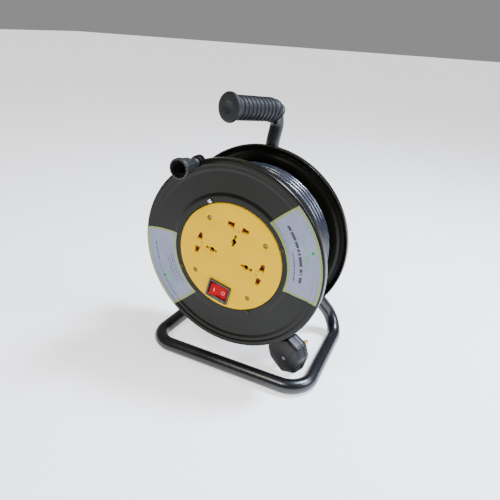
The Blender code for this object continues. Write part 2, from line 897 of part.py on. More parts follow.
def make_carrier():
    """The moulded block behind the shutters, with a way through it for each pin
    and three brass strips on its back."""
    start = panel_back + PANEL_BOSS_T + 2 * GAP + SHUTTER_T
    end = start + CARRIER_T
    carrier = prism(
        "contact_carrier", circle(CARRIER_R, 32), start, end, carrier_plastic, drum_axis
    )
    for name, turn in outlet_turns.items():
        ways = {
            "live": rectangle(8.6 * MM, 7 * MM, -PIN_HALF_SPAN, 0),
            "neutral": rectangle(8.6 * MM, 7 * MM, PIN_HALF_SPAN, 0),
            "earth": rectangle(7.6 * MM, 17 * MM, 0, -EARTH_DROP + 1.5 * MM),
        }
        for pin, way in ways.items():
            outline = moved(way, turn, OUTLET_R)
            if pin != "earth":
                outline = moved(way, turn, OUTLET_R - 1.5 * MM)
            cutter = prism(
                f"way_{name}_{pin}", outline, start - MM, end + MM, None, drum_axis
            )
            combine(carrier, cutter)
    notch = moved(
        rectangle(SWITCH_LENGTH + 4 * MM, SWITCH_WIDTH + 4 * MM), switch_turn, SWITCH_R
    )
    combine(carrier, prism("carrier_notch", notch, start - MM, end + MM, None, drum_axis))
    return end


def strip(name, side, end, radius, depth):
    """A brass strip: an arc about the axis, and for each outlet a leaf at side
    that runs from the arc to the distance end from the axis."""
    height, thick = 5 * MM, 0.9 * MM
    first, last = outlet_turns["c"], outlet_turns["b"]
    middle, half = (first + last) / 2, (last - first) / 2 + 26
    profile = [
        (radius, depth), (radius + thick, depth),
        (radius + thick, depth + height), (radius, depth + height),
    ]
    arc = sector(name, profile, brass, drum_axis, middle, [half] * 4, 22)
    start = math.sqrt((radius + thick / 2) ** 2 - side**2)
    for outlet, turn in outlet_turns.items():
        leaf = rectangle(thick * 3, abs(end - start), side, (start + end) / 2)
        joint = prism(
            f"{name}_leaf_{outlet}", moved(leaf, turn, 0), depth + 0.4 * MM,
            depth + height - 0.4 * MM, None, drum_axis,
        )
        combine(arc, joint, "UNION")


def make_strips(carrier_end):
    depth = carrier_end + GAP
    leaf_side = PIN_HALF_SPAN + 5 * MM
    strip("live_strip", -leaf_side, OUTLET_R - 5 * MM, CARRIER_R + 2 * MM, depth)
    strip("neutral_strip", leaf_side, OUTLET_R, OUTLET_R - 10 * MM, depth)
    strip("earth_strip", 0, OUTLET_R - EARTH_DROP + 4 * MM, 13 * MM, depth)


# Switch --------------------------------------------------------------------


def make_switch():
    """The rocker switch that snaps into the panel: a housing with its bezel, and
    the rocker, which turns on a pin across the housing."""
    centre = polar(switch_turn, SWITCH_R)
    bezel = moved(rounded(rectangle(BEZEL_LENGTH, BEZEL_WIDTH), 1.2 * MM), switch_turn, 0)
    bezel_start = panel_front - GAP - BEZEL_T
    housing = prism(
        "switch_housing", bezel, bezel_start, panel_front - GAP, switch_plastic,
        drum_axis, centre,
    )
    body = prism(
        "switch_body",
        moved(rectangle(SWITCH_LENGTH, SWITCH_WIDTH), switch_turn, 0),
        bezel_start + MM, SWITCH_DEPTH, None, drum_axis, centre,
    )
    combine(housing, body, "UNION")
    hollow = prism(
        "switch_hollow",
        moved(
            rectangle(ROCKER_LENGTH + 2 * PLAY, ROCKER_WIDTH + 2 * PLAY), switch_turn, 0
        ),
        bezel_start - MM, SWITCH_DEPTH - 6 * MM, None, drum_axis, centre,
    )
    combine(housing, hollow)
    for side in (-1, 0, 1):
        tab = prism(
            f"switch_tab_{side + 1}",
            moved(rectangle(0.9 * MM, 6.3 * MM, side * 8 * MM, 0), switch_turn, 0),
            SWITCH_DEPTH - MM, SWITCH_DEPTH + 9 * MM, None, drum_axis, centre,
        )
        combine(housing, tab, "UNION")
    make_rocker(centre + Vector((0, panel_front + 3 * MM, 0)))


def make_rocker(pivot):
    """A bar with rounded ends about its pivot and a shallow V across its face."""
    end_r = ROCKER_LENGTH / 2
    outline = []
    for i in range(7):
        turn = math.radians(22 - 62 * i / 6)
        outline.append((end_r * math.cos(turn), -end_r * math.sin(turn)))
    outline += [(-u, depth) for u, depth in reversed(outline)]
    outline.append((0, -end_r * math.sin(math.radians(22)) + 2.0 * MM))
    bm = bmesh.new()
    turn = math.radians(switch_turn)
    out = Vector((math.cos(turn), 0, math.sin(turn)))
    side = Vector((out.z, 0, -out.x))
    tilt = math.radians(-ROCKER_TILT)
    rings = []
    for v in (-ROCKER_WIDTH / 2, ROCKER_WIDTH / 2):
        ring = []
        for u, depth in outline:
            across = u * math.cos(tilt) - depth * math.sin(tilt)
            inward = u * math.sin(tilt) + depth * math.cos(tilt)
            ring.append(side * across + out * v + Vector((0, inward, 0)))
        rings.append(ring)
    skin(bm, rings)
    return mesh_object("switch_rocker", bm, red_plastic, drum_axis, pivot)


# Crank knob ----------------------------------------------------------------


def make_knob():
    """A hollow tapered knob that turns on a spindle riveted into the flange."""
    neck, end_r = KNOB_NECK_D / 2, KNOB_END_D / 2
    bore_start = -15 * MM
    bore_r = neck - KNOB_WALL + 0.6 * MM
    profile = [
        (SPINDLE_R + PLAY, -PLAY),
        (neck, -PLAY),
        (neck + 0.5 * MM, -3.5 * MM),
        (neck, -6 * MM),
        (neck + 0.7 * MM, -9 * MM),
        (neck + 2.6 * MM, -16 * MM),
        (end_r - 0.8 * MM, -KNOB_LENGTH + 7 * MM),
        (end_r, -KNOB_LENGTH + 5 * MM),
        (end_r, -KNOB_LENGTH + 1 * MM),
        (end_r - 0.8 * MM, -KNOB_LENGTH),
        (end_r - KNOB_WALL, -KNOB_LENGTH),
        (end_r - KNOB_WALL - 0.8 * MM, -KNOB_LENGTH + 6 * MM),
        (bore_r, bore_start),
        (SPINDLE_R + PLAY, bore_start),
    ]
    turned("crank_knob", profile, knob_plastic, drum_axis, 24, knob_at)
    head_r = bore_r - 2 * PLAY
    head = bore_start - PLAY
    turned(
        "knob_spindle",
        [
            (0, head - 1.6 * MM),
            (head_r * 0.7, head - 1.6 * MM),
            (head_r, head - 0.8 * MM),
            (head_r, head),
            (SPINDLE_R, head),
            (SPINDLE_R, RIM_DEPTH + GAP),
            (SPINDLE_R + 0.9 * MM, RIM_DEPTH + GAP),
            (SPINDLE_R + 0.5 * MM, RIM_DEPTH + 1.3 * MM),
            (0, RIM_DEPTH + 1.5 * MM),
        ],
        zinc,
        drum_axis,
        16,
        knob_at,
    )


# Labels --------------------------------------------------------------------


def face_depth(radius):
    """The depth of the flange's outer face at a radius."""
    face = plate_faces()
    if radius <= face[0][0]:
        return face[0][1]
    for (r0, d0), (r1, d1) in zip(face, face[1:]):
        if r0 <= radius <= r1:
            return d0 + (d1 - d0) * (radius - r0) / (r1 - r0)
    return face[-1][1]


def make_labels():
    """Two film labels that follow the flange's face."""
    radii = [LABEL_INNER_R] + [
        r for r, _ in plate_faces() if LABEL_INNER_R < r < LABEL_OUTER_R
    ]
    radii.append(LABEL_OUTER_R)
    back = [(r, face_depth(r) - GAP) for r in radii]
    front = [(r, depth - LABEL_T) for r, depth in reversed(back)]
    outline = back + front
    for name, middle, inner_half, outer_half in LABELS:
        halves = []
        for radius, _ in outline:
            share = (radius - LABEL_INNER_R) / (LABEL_OUTER_R - LABEL_INNER_R)
            halves.append(inner_half + (outer_half - inner_half) * share)
        sector(name, outline, label_film, drum_axis, middle, halves, 12)


# Cord and plug -------------------------------------------------------------

wound_inner_r = BARREL_R + GAP
wound_outer_r = wound_inner_r + CORD_D + LAYER_STEP * (LAYERS - 1)


def make_winding():
    """The outer shape of 25 m of cord wound on the barrel."""
    start = DISH_DEPTH + FLANGE_T + GAP
    end = DRUM_WIDTH - start
    step = seat_back + GAP
    hub = wound_inner_r + 5 * MM
    turned(
        "wound_cord",
        [
            (wound_inner_r, step),
            (hub, step),
            (hub, start),
            (wound_outer_r, start),
            (wound_outer_r, end),
            (hub, end),
            (hub, DRUM_WIDTH - step),
            (wound_inner_r, DRUM_WIDTH - step),
        ],
        cord_pvc,
        drum_axis,
        FLANGE_SEGMENTS,
    )


def plug_frame():
    frame = empty("plug_frame", Vector(PLUG_AT) * MM, reel_frame)
    turn = Matrix.Rotation(math.radians(PLUG_TURN), 3, "Z")
    tilt = Matrix.Rotation(math.radians(-PLUG_TILT), 3, "Y")
    frame.rotation_euler = (turn @ tilt).to_euler()
    return frame


def smooth_curve(route, steps):
    """Points on a curve through the route's own points, with no corner in it."""
    points = []
    ends = [2 * route[0] - route[1], *route, 2 * route[-1] - route[-2]]
    for before, start, end, after in zip(ends, ends[1:], ends[2:], ends[3:]):
        for k in range(steps):
            t = k / steps
            bend = start * 2 + (end - before) * t
            bend += (before * 2 - start * 5 + end * 4 - after) * t**2
            bend += (start * 3 - before - end * 3 + after) * t**3
            points.append(bend / 2)
    return points + [route[-1]]


def make_tail():
    """The cord from the top of its last turn down into the plug."""
    route = [Vector(point) * MM for point in TAIL_ROUTE]
    rod("cord_tail", smooth_curve(route, 2), CORD_D, cord_pvc, reel_frame, 3)


def plug_outline(inset=0.0):
    """The plug's outline, from its tip to the end that the cord goes into."""
    half = PLUG_WIDTH / 2 - inset
    tip = PLUG_TIP_WIDTH / 2 - inset * 0.4
    top = PLUG_TOP_WIDTH / 2 - inset * 0.4
    low = inset - PLUG_HEIGHT
    right = [
        (tip, low),
        (half - 2.5 * MM, low + 16 * MM),
        (half, low + 21 * MM),
        (half, -14 * MM),
        (half - 2 * MM, -10 * MM),
        (top, -inset),
    ]
    return right + [(-x, z) for x, z in reversed(right)]


def make_plug():
    frame = plug_frame()
    bm = bmesh.new()
    levels = ((-GAP / 2, 0.0), (-COVER_T * 0.7, 0.8 * MM), (-COVER_T, 4.5 * MM))
    skin(
        bm,
        [[(x, depth, z) for x, z in plug_outline(inset)] for depth, inset in levels],
    )
    cover = mesh_object("plug_cover", bm, plug_plastic, frame)
    base = prism(
        "plug_base", plug_outline(), GAP / 2, PLUG_BASE_T, plug_plastic, frame
    )
    hole_bm = bmesh.new()
    radius = CORD_D / 2 + PLUG_CORD_PLAY
    skin(
        hole_bm,
        [[(x, y, z) for x, y in circle(radius, 16)] for z in (MM * 4, -9 * MM)],
    )
    hole = mesh_object("plug_cord_hole", hole_bm, None, frame)
    combine(cover, hole)
    combine(base, hole)
    screw_z = -27 * MM
    bore = prism(
        "plug_screw_bore", circle(2.0 * MM, 12, 0, screw_z), -COVER_T - MM, PLUG_BASE_T - 2 * MM,
        None, frame,
    )
    well = prism(
        "plug_screw_well", circle(3.6 * MM, 12, 0, screw_z), -COVER_T - MM, -COVER_T + 3 * MM,
        None, frame,
    )
    combine(cover, bore)
    combine(cover, well)
    combine(base, bore)
    screw(
        "plug_screw", (0, -COVER_T + 3 * MM - GAP - 1.6 * MM, screw_z), 3.1 * MM, 1.6 * MM,
        1.6 * MM, 16 * MM, zinc, frame, 15,
    )
    pins = {
        "plug_live_pin": (11.1 * MM, -17.8 * MM, 6.35 * MM, 3.95 * MM, 17.7 * MM),
        "plug_neutral_pin": (-11.1 * MM, -17.8 * MM, 6.35 * MM, 3.95 * MM, 17.7 * MM),
        "plug_earth_pin": (0, -40 * MM, 3.95 * MM, 7.9 * MM, 22.7 * MM),
    }
    for name, (x, z, wide, high, length) in pins.items():
        root = PLUG_BASE_T - 6 * MM
        pocket = prism(
            name + "_pocket", rectangle(wide + 2 * GAP, high + 2 * GAP, x, z),
            root - GAP, PLUG_BASE_T + MM, None, frame,
        )
        combine(base, pocket)
        bm = bmesh.new()
        full = rectangle(wide, high, x, z)
        small = rectangle(wide * 0.6, high * 0.6, x, z)
        tip = PLUG_BASE_T + length
        skin(
            bm,
            [
                [(px, root, pz) for px, pz in full],
                [(px, tip - 2 * MM, pz) for px, pz in full],
                [(px, tip, pz) for px, pz in small],
            ],
        )
        mesh_object(name, bm, brass, frame)


plate_back = make_stand()
make_axle(plate_back)
make_grip()
make_front_flange()
make_rear_flange()
make_barrel()
make_cord_bush()
make_flange_screws()
make_panel()
make_shutters()
make_strips(make_carrier())
make_switch()
make_knob()
make_labels()
make_winding()
make_plug()
make_tail()
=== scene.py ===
"""The look of an extension cord reel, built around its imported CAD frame.

Lengths are millimetres in the reel's own axes: x to the right, y back from the
front flange's face, z up, from the drum's axis. place() turns them into metres
in the row frame.
"""

import math

import bmesh
import bpy
import numpy as np
from mathutils import Matrix, Vector, geometry


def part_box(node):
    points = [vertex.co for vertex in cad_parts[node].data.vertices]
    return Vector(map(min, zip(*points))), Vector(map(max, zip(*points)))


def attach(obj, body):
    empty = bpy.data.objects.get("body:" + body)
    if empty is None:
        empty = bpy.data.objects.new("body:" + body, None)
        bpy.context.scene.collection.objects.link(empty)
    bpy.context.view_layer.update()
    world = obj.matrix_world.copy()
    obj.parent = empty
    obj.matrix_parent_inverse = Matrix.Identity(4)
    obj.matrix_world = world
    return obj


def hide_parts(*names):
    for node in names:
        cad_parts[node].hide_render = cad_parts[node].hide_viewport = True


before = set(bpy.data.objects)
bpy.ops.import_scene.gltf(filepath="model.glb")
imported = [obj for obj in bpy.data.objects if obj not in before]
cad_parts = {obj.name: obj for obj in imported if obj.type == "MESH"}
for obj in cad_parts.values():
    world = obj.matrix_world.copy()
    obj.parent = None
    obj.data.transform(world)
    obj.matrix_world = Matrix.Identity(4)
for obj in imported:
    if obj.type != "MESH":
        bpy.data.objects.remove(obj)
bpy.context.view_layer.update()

MM = 0.001
rim_low, rim_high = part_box("front_flange")
ORIGIN = np.array(
    [(rim_low.x + rim_high.x) / 2, rim_low.y, (rim_low.z + rim_high.z) / 2]
)
GAP = 0.3  # between pieces that touch
PLAY = 0.4  # between pieces that move on each other

# Stand
BASE_TUBE_R = 9.5
TUBE_DEPTH = 108.4
BASE_CORNERS = ((15, TUBE_DEPTH, -15), (107.6, 166, -152.4), (113.6, -4.8, -152.4))
BASE_BENDS = (28, 30, 30, 28)
HANDLE_TUBE_R = 8.8
HANDLE_TURN = 18
HANDLE_CORNERS = ((0, 14), (0, 118), (12, 159.7), (-75, 168.9))
HANDLE_BENDS = (60, 19)
GRIP_R = 14.5
GRIP_GROOVE = 1.7
GRIP_RIBS = 11
GRIP_END_R = 17.3
GRIP_END_T = 5
GRIP_ROUND_BEND = 42

# Drum
FLANGE_R = 120
FLANGE_T = 2.4
RIM_DEPTH = 9.5
DRUM_WIDTH = 97.3
BARREL_R = 75.5
PANEL_R = 68.7
PANEL_FRONT = 0.4
PANEL_BACK = 4.3
SEAT_DEPTH = PANEL_BACK + GAP
SEAT_BACK = SEAT_DEPTH + FLANGE_T
SWITCH_CORNER_R = 63.4  # past the switch's body, which goes through the flange
FACE = (
    (76.5, 1.5), (80.5, 2.7), (105.5, 2.7), (108.5, 1.3), (112, 1.3),
    (114, 0), (117.8, 0), (119.4, 0.7), (120, 2.3),
)
FLANGE_SCREW_R = 72.3
FLANGE_SCREW_TURN = 22.5
PANEL_SCREW_R = 54
SCREW_HEAD_R = 2.7
SCREW_SHANK_R = 1.5
FLANGE_HEAD_T = 1.8
PANEL_HEAD_T = 1.2
PANEL_HOLE_R = 3.2
PANEL_HOLE_FOOT = 2.9  # depth of the recess's floor
HUB_DEPTH = 1.5  # of the ring about the panel, behind the rim's face
CORNER_R = 0.7  # of the flanges' section
FLANGE_SEGMENTS = 288
LAYOUT_TURN = 75.5
OUTLET_R = 43.5
OUTLETS = {"a": LAYOUT_TURN, "b": LAYOUT_TURN + 90, "c": LAYOUT_TURN - 90}
PIN_HALF_SPAN = 9.75
SLOT_LENGTH = 9.2
SLOT_NARROW = 4.4
SLOT_WIDE = 7.4
EARTH_DROP = 19.5

# Switch and knob
SWITCH_TURN = LAYOUT_TURN + 180
SWITCH_R = 50.4
BEZEL = (31, 25.5)
SWITCH_BODY = (28.2, 21.6)
ROCKER = (24.4, 17.6)
ROCKER_TILT = 9
ROCKER_RISE = 22  # degrees that each end stands above the pivot
ROCKER_VALLEY = 2.0
BEZEL_T = 2
SWITCH_DEPTH = 16
KNOB_R = 119
KNOB_TURN = 112.9
KNOB_LENGTH = 36
KNOB_NECK_R = 5.8
KNOB_END_R = 11.75

# Labels
LABEL_INNER_R = 75.4
LABEL_OUTER_R = 117.6
LABEL_T = 0.35
LABEL_BORDER = 2.6

# Cord and plug
CORD_R = 3.5
CORD_PITCH = 7.23
LAYER_STEP = 6.05
PLUG_AT = (71, 28, -101.5)
PLUG_TILT = 22
PLUG_TURN = -18
COVER_T = 12
PLUG_BASE_T = 8
PLUG_SCREW_DROP = -27
PINS = {  # across, down, width, height and length of each blade
    "live": (11.1, -17.8, 6.35, 3.95, 17.7),
    "neutral": (-11.1, -17.8, 6.35, 3.95, 17.7),
    "earth": (0, -40, 3.95, 7.9, 22.7),
}
TAIL_ROUTE = (
    (104.5, 31, 9.1), (103.4, 30.8, -18), (95.9, 30.5, -42.8), (84.9, 30.1, -62.1),
    (77.4, 29.8, -72.1), (72, 29.4, -80.8), (69.5, 28.9, -90.9), (71, 28, -101.5),
    (72.9, 27.4, -106.4),
)
CORD_HOLE_TURN = 330
CORD_HOLE_DEPTH = 16.5
TURN_POINTS = 40  # points in each turn of the winding
DIVE = 6.8  # how far a cord's hidden end goes down between the turns

# Brightness of the white surround, and how far the floor glows by itself
SURROUND = 0.28
FLOOR_GLOW = 1.1
FLOOR_HALF = 12.0  # metres

# Camera: from the drum's axis at the front flange, in millimetres and degrees
CAMERA_AT = (239.1, -457.6, 252.3)
CAMERA_AZIMUTH = 24.79
CAMERA_ELEVATION = 24.90
CAMERA_ROLL = 3.36
CAMERA_LENS = 34.55


# Shapes --------------------------------------------------------------------


def place(points):
    """Reel millimetres turned into metres in the row frame."""
    return np.asarray(points, float) * MM + ORIGIN


def quads(rows, cols, closed_rows=False, closed_cols=True):
    """Faces of a grid: a point, the next in its row, and those two one row on."""
    index = np.arange(rows * cols).reshape(rows, cols)
    if closed_rows:
        index = np.vstack([index, index[:1]])
    if closed_cols:
        index = np.hstack([index, index[:, :1]])
    corners = (index[:-1, :-1], index[:-1, 1:], index[1:, 1:], index[1:, :-1])
    return np.stack(corners, -1).reshape(-1, 4).tolist()


def lofted(rings, closed=False):
    """A skin over rings of equal count: a face between neighbours in both
    directions, and a cap on each end unless the last ring meets the first."""
    rings = np.asarray(rings, float)
    rows, cols = rings.shape[:2]
    faces = quads(rows, cols, closed_rows=closed)
    if not closed:
        faces += [list(range(cols)), list(range((rows - 1) * cols, rows * cols))]
    return rings.reshape(-1, 3), faces


def polar(turn, radius, depth=0.0):
    """The point at radius and turn degrees about the axis, at a depth."""
    turn = np.radians(turn)
    x, z = radius * np.cos(turn), radius * np.sin(turn)
    return np.stack(np.broadcast_arrays(x, depth, z), -1).astype(float)


def turned(outline, segments, centre=(0, 0, 0)):
    """A closed outline of (radius, depth) points carried round the Y axis."""
    outline = np.asarray(outline, float)
    turns = np.linspace(0, 360, segments, endpoint=False)[:, None]
    rings = polar(turns, outline[None, :, 0], outline[None, :, 1]) + np.asarray(centre)
    return lofted(rings, closed=True)


def rounded(outline, radius, steps=4, closed=True):
    """The outline with each corner replaced by an arc that touches both sides."""
    outline = np.asarray(outline, float)
    before = np.roll(outline, 1, 0) - outline
    after = np.roll(outline, -1, 0) - outline
    sides = np.minimum(np.linalg.norm(before, axis=1), np.linalg.norm(after, axis=1))
    before /= np.linalg.norm(before, axis=1)[:, None]
    after /= np.linalg.norm(after, axis=1)[:, None]
    half = np.arccos(np.clip((before * after).sum(1), -1, 1)) / 2
    radius = np.minimum(radius, 0.45 * sides * np.tan(half))[:, None]
    half = half[:, None]
    way = before + after
    way /= np.maximum(np.linalg.norm(way, axis=1), 1e-9)[:, None]
    middle = outline + way * radius / np.sin(half)
    first = outline + before * radius / np.tan(half) - middle
    last = outline + after * radius / np.tan(half) - middle
    share = np.linspace(0, 1, steps + 1)[None, :, None]
    arc = first[:, None] * (1 - share) + last[:, None] * share
    arc *= radius[:, None] / np.linalg.norm(arc, axis=2)[..., None]
    arc += middle[:, None]
    if closed:
        return arc.reshape(-1, 2)
    return np.vstack([outline[:1], arc[1:-1].reshape(-1, 2), outline[-1:]])


def rectangle(width, height, u=0.0, v=0.0):
    """Four corners about a middle, anticlockwise."""
    half_w, half_h = width / 2, height / 2
    return np.array(
        [
            (u - half_w, v - half_h), (u + half_w, v - half_h),
            (u + half_w, v + half_h), (u - half_w, v + half_h),
        ]
    )


def circle(radius, count, u=0.0, v=0.0):
    """Points about a middle, anticlockwise."""
    turn = np.linspace(0, math.tau, count, endpoint=False)
    return np.stack([u + radius * np.cos(turn), v + radius * np.sin(turn)], -1)


def grown(outline, amount):
    """The outline with every side moved outwards by amount."""
    outline = np.asarray(outline, float)
    ahead = np.roll(outline, -1, 0) - outline
    across = np.stack([ahead[:, 1], -ahead[:, 0]], -1)
    across /= np.linalg.norm(across, axis=1)[:, None]
    both = across + np.roll(across, 1, 0)
    both /= np.maximum((both**2).sum(1), 1e-9)[:, None] / 2
    x, z = outline.T
    turns_left = (x * np.roll(z, -1) - z * np.roll(x, -1)).sum() > 0
    return outline + both * (amount if turns_left else -amount)


def outward(outline, turn, radius):
    """An outline in an outlet's (side, out) axes moved out along turn, as (x, z)."""
    turn = math.radians(turn)
    out = np.array([math.cos(turn), math.sin(turn)])
    side = np.array([out[1], -out[0]])
    outline = np.asarray(outline, float)
    return outline[:, :1] * side + (outline[:, 1:] + radius) * out


def at_depth(outline, depth):
    """An (x, z) outline as points at a depth."""
    outline = np.asarray(outline, float)
    return np.stack([outline[:, 0], np.full(len(outline), depth), outline[:, 1]], -1)


def bent_path(corners, bends, step=3):
    """A tube's centre line: straight runs, and at each inner corner an arc of the
    given radius with a point every step degrees."""
    corners = [np.asarray(corner, float) for corner in corners]
    points = [corners[0][None]]
    for before, corner, after, radius in zip(corners, corners[1:], corners[2:], bends):
        back = (before - corner) / np.linalg.norm(before - corner)
        ahead = (after - corner) / np.linalg.norm(after - corner)
        half = math.acos(back @ ahead) / 2
        way = (back + ahead) / np.linalg.norm(back + ahead)
        centre = corner + way * radius / math.sin(half)
        first = corner + back * radius / math.tan(half) - centre
        last = corner + ahead * radius / math.tan(half) - centre
        turn = math.pi - 2 * half
        share = np.linspace(0, 1, math.ceil(math.degrees(turn) / step) + 1)[:, None]
        arc = first * np.sin(turn * (1 - share)) + last * np.sin(turn * share)
        points.append(centre + arc / math.sin(turn))
    points.append(corners[-1][None])
    return np.vstack(points)


def smooth_route(route, steps):
    """Points on a curve through the route's own points, with no corner in it."""
    route = np.asarray(route, float)
    ends = np.vstack([2 * route[0] - route[1], route, 2 * route[-1] - route[-2]])
    before, start, end, after = ends[:-3], ends[1:-2], ends[2:-1], ends[3:]
    t = np.linspace(0, 1, steps, endpoint=False)[None, :, None]
    before, start, end, after = (p[:, None] for p in (before, start, end, after))
    bend = start * 2 + (end - before) * t
    bend = bend + (before * 2 - start * 5 + end * 4 - after) * t**2
    bend = bend + (start * 3 - before - end * 3 + after) * t**3
    return np.vstack([bend.reshape(-1, 3) / 2, route[-1:]])


def directions(path):
    """The unit direction of travel at each point of a path."""
    ahead = np.gradient(path, axis=0)
    return ahead / np.linalg.norm(ahead, axis=1)[:, None]


def swept(path, radii, sides, reference, along=None):
    """Circles of the given radii about the path's points, square to the path. The
    reference direction, never along the path, keeps them from twisting."""
    path = np.asarray(path, float)
    along = directions(path) if along is None else along
    side = np.cross(along, reference)
    side /= np.linalg.norm(side, axis=1)[:, None]
    up = np.cross(side, along)
    turn = np.linspace(0, math.tau, sides, endpoint=False)[None, :, None]
    ring = side[:, None] * np.cos(turn) + up[:, None] * np.sin(turn)
    return path[:, None] + ring * np.broadcast_to(radii, len(path))[:, None, None]


def resampled(path, distances):
    """Points at distances along a path, which runs on straight at its ends."""
    steps = np.linalg.norm(np.diff(path, axis=0), axis=1)
    reached = np.concatenate([[0], np.cumsum(steps)])
    index = np.clip(np.searchsorted(reached, distances, "right") - 1, 0, len(steps) - 1)
    share = (distances - reached[index]) / steps[index]
    return path[index] + (path[index + 1] - path[index]) * share[:, None]


def joined(*shapes):
    """Several (points, faces) as one."""
    points, faces, count = [], [], 0
    for shape_points, shape_faces in shapes:
        points.append(np.asarray(shape_points).reshape(-1, 3))
        faces += [[i + count for i in face] for face in shape_faces]
        count += len(points[-1])
    return np.vstack(points), faces


def piece(name, shape, finish, body, stands_for=(), sharp=34, marks=None):
    """An object at the origin from a shape in reel millimetres: doubles merged,
    faces turned outwards, shaded smooth but for edges sharper than sharp."""
    points, faces = shape
    mesh = bpy.data.meshes.new(name)
    mesh.from_pydata(place(points).tolist(), [], faces)
    for mark, values in (marks or {}).items():
        layer = mesh.attributes.new(mark, "FLOAT", "POINT")
        layer.data.foreach_set("value", np.ravel(values).astype(np.float32))
    bm = bmesh.new()
    bm.from_mesh(mesh)
    bmesh.ops.remove_doubles(bm, verts=bm.verts, dist=2e-6)
    bmesh.ops.dissolve_degenerate(bm, edges=bm.edges, dist=1e-7)
    bmesh.ops.recalc_face_normals(bm, faces=bm.faces)
    bm.to_mesh(mesh)
    bm.free()
    mesh.shade_smooth()
    mesh.set_sharp_from_angle(angle=math.radians(sharp))
    mesh.materials.append(finish)
    obj = bpy.data.objects.new(name, mesh)
    bpy.context.scene.collection.objects.link(obj)
    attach(obj, body)
    if stands_for:
        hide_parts(*stands_for)
    return obj


# Finishes ------------------------------------------------------------------


def linear(code):
    """An sRGB hex colour as linear red, green, blue and alpha."""
    parts = np.array([int(code[i : i + 2], 16) for i in (1, 3, 5)]) / 255
    low = parts <= 0.04045
    parts = np.where(low, parts / 12.92, ((parts + 0.055) / 1.055) ** 2.4)
    return (*parts.tolist(), 1.0)


def add(tree, kind, settings=None, links=None):
    """Adds a node with its settings, by property or socket, and its links, each
    from a socket to a (node, output) pair."""
    node = tree.nodes.new(kind)
    for key, value in (settings or {}).items():
        if isinstance(key, int) or key in node.inputs:
            node.inputs[key].default_value = value
        else:
            setattr(node, key, value)
    for key, (source, output) in (links or {}).items():
        tree.links.new(source.outputs[output], node.inputs[key])
    return node


def finish_of(
    name, light, dark, rough, blotch, grain, depth, stretch=(1, 1, 1), shader=None
):
    """A surface whose colour drifts between two tones over blotch millimetres,
    whose roughness drifts between two values with it, and whose grain of the
    given size in millimetres rises by depth millimetres."""
    mat = bpy.data.materials.new(name)
    mat.use_nodes = True
    tree = mat.node_tree
    tree.nodes.clear()
    spot = add(tree, "ShaderNodeTexCoord")
    scaled = add(
        tree, "ShaderNodeMapping", {"Scale": stretch}, {"Vector": (spot, "Object")}
    )
    drift = add(
        tree,
        "ShaderNodeTexNoise",
        {"Scale": 1 / (blotch * MM), "Detail": 4.0, "Roughness": 0.6},
        {"Vector": (scaled, "Vector")},
    )
    tones = add(
        tree,
        "ShaderNodeMix",
        {"data_type": "RGBA", 6: linear(dark), 7: linear(light)},
        {0: (drift, "Fac")},
    )
    sheen = add(
        tree,
        "ShaderNodeMapRange",
        {"From Min": 0.3, "From Max": 0.7, "To Min": rough[0], "To Max": rough[1]},
        {"Value": (drift, "Fac")},
    )
    fine = add(
        tree,
        "ShaderNodeTexNoise",
        {"Scale": 1 / (grain * MM), "Detail": 3.0, "Roughness": 0.55},
        {"Vector": (scaled, "Vector")},
    )
    bump = add(
        tree,
        "ShaderNodeBump",
        {"Strength": 1.0, "Distance": depth * MM},
        {"Height": (fine, "Fac")},
    )
    principled = add(
        tree,
        "ShaderNodeBsdfPrincipled",
        shader,
        {
            "Base Color": (tones, 2),
            "Roughness": (sheen, "Result"),
            "Normal": (bump, "Normal"),
        },
    )
    add(tree, "ShaderNodeOutputMaterial", {}, {"Surface": (principled, "BSDF")})
    return mat


# Stove enamel on bent steel tube: deep black, glossy, with a slight orange peel.
tube_enamel = finish_of(
    "black_stove_enamel", "#101116", "#08080b", (0.2, 0.32), 45, 3.2, 0.05,
    shader={"IOR": 1.52, "Specular IOR Level": 0.6},
)
# Injection moulded polypropylene with recycled filler: black with a warm cast,
# satin, and faint flow marks from the gate.
flange_plastic = finish_of(
    "black_moulded_polypropylene", "#100f05", "#090803", (0.26, 0.36), 30, 1.8, 0.02,
    shader={"IOR": 1.49, "Specular IOR Level": 0.22},
)
# Soft PVC grip: nearly matt, worn a little grey where the hand goes.
grip_pvc = finish_of(
    "moulded_soft_pvc_grip", "#16171b", "#0c0d10", (0.48, 0.62), 12, 0.9, 0.05,
    shader={"IOR": 1.5, "Specular IOR Level": 0.35},
)
# Spark-textured ABS: near black, speckled.
knob_abs = finish_of(
    "spark_textured_abs_knob", "#171615", "#090808", (0.42, 0.6), 4, 1.3, 0.09,
    shader={"IOR": 1.53},
)
# Satin moulded ABS: warm yellow, clean and even.
panel_abs = finish_of(
    "lemon_yellow_moulded_abs", "#e6b800", "#dfae00", (0.45, 0.52), 60, 5.0, 0.02,
    shader={"IOR": 1.53, "Specular IOR Level": 0.05},
)
# The same plastic in a darker tone, on the raised marks.
mark_abs = finish_of(
    "darker_raised_mark", "#b39a1e", "#8e7a16", (0.45, 0.55), 3, 1.0, 0.02,
    shader={"IOR": 1.53},
)
# Nylon shutters: rust red and dull, in the shade of the panel.
shutter_nylon = finish_of(
    "rust_red_nylon_shutter", "#93320a", "#6d2204", (0.5, 0.6), 6, 0.7, 0.03,
    shader={"IOR": 1.53},
)
# Moulded polycarbonate: signal red, smooth.
rocker_pc = finish_of(
    "signal_red_polycarbonate", "#b80006", "#8c0006", (0.14, 0.22), 14, 4.0, 0.01,
    shader={"IOR": 1.58, "Specular IOR Level": 0.05},
)
# Printed mark on the rocker: pale pink ink.
rocker_ink = finish_of(
    "pale_pink_pad_print", "#ff9aa8", "#f27f90", (0.4, 0.5), 3, 0.6, 0.005
)
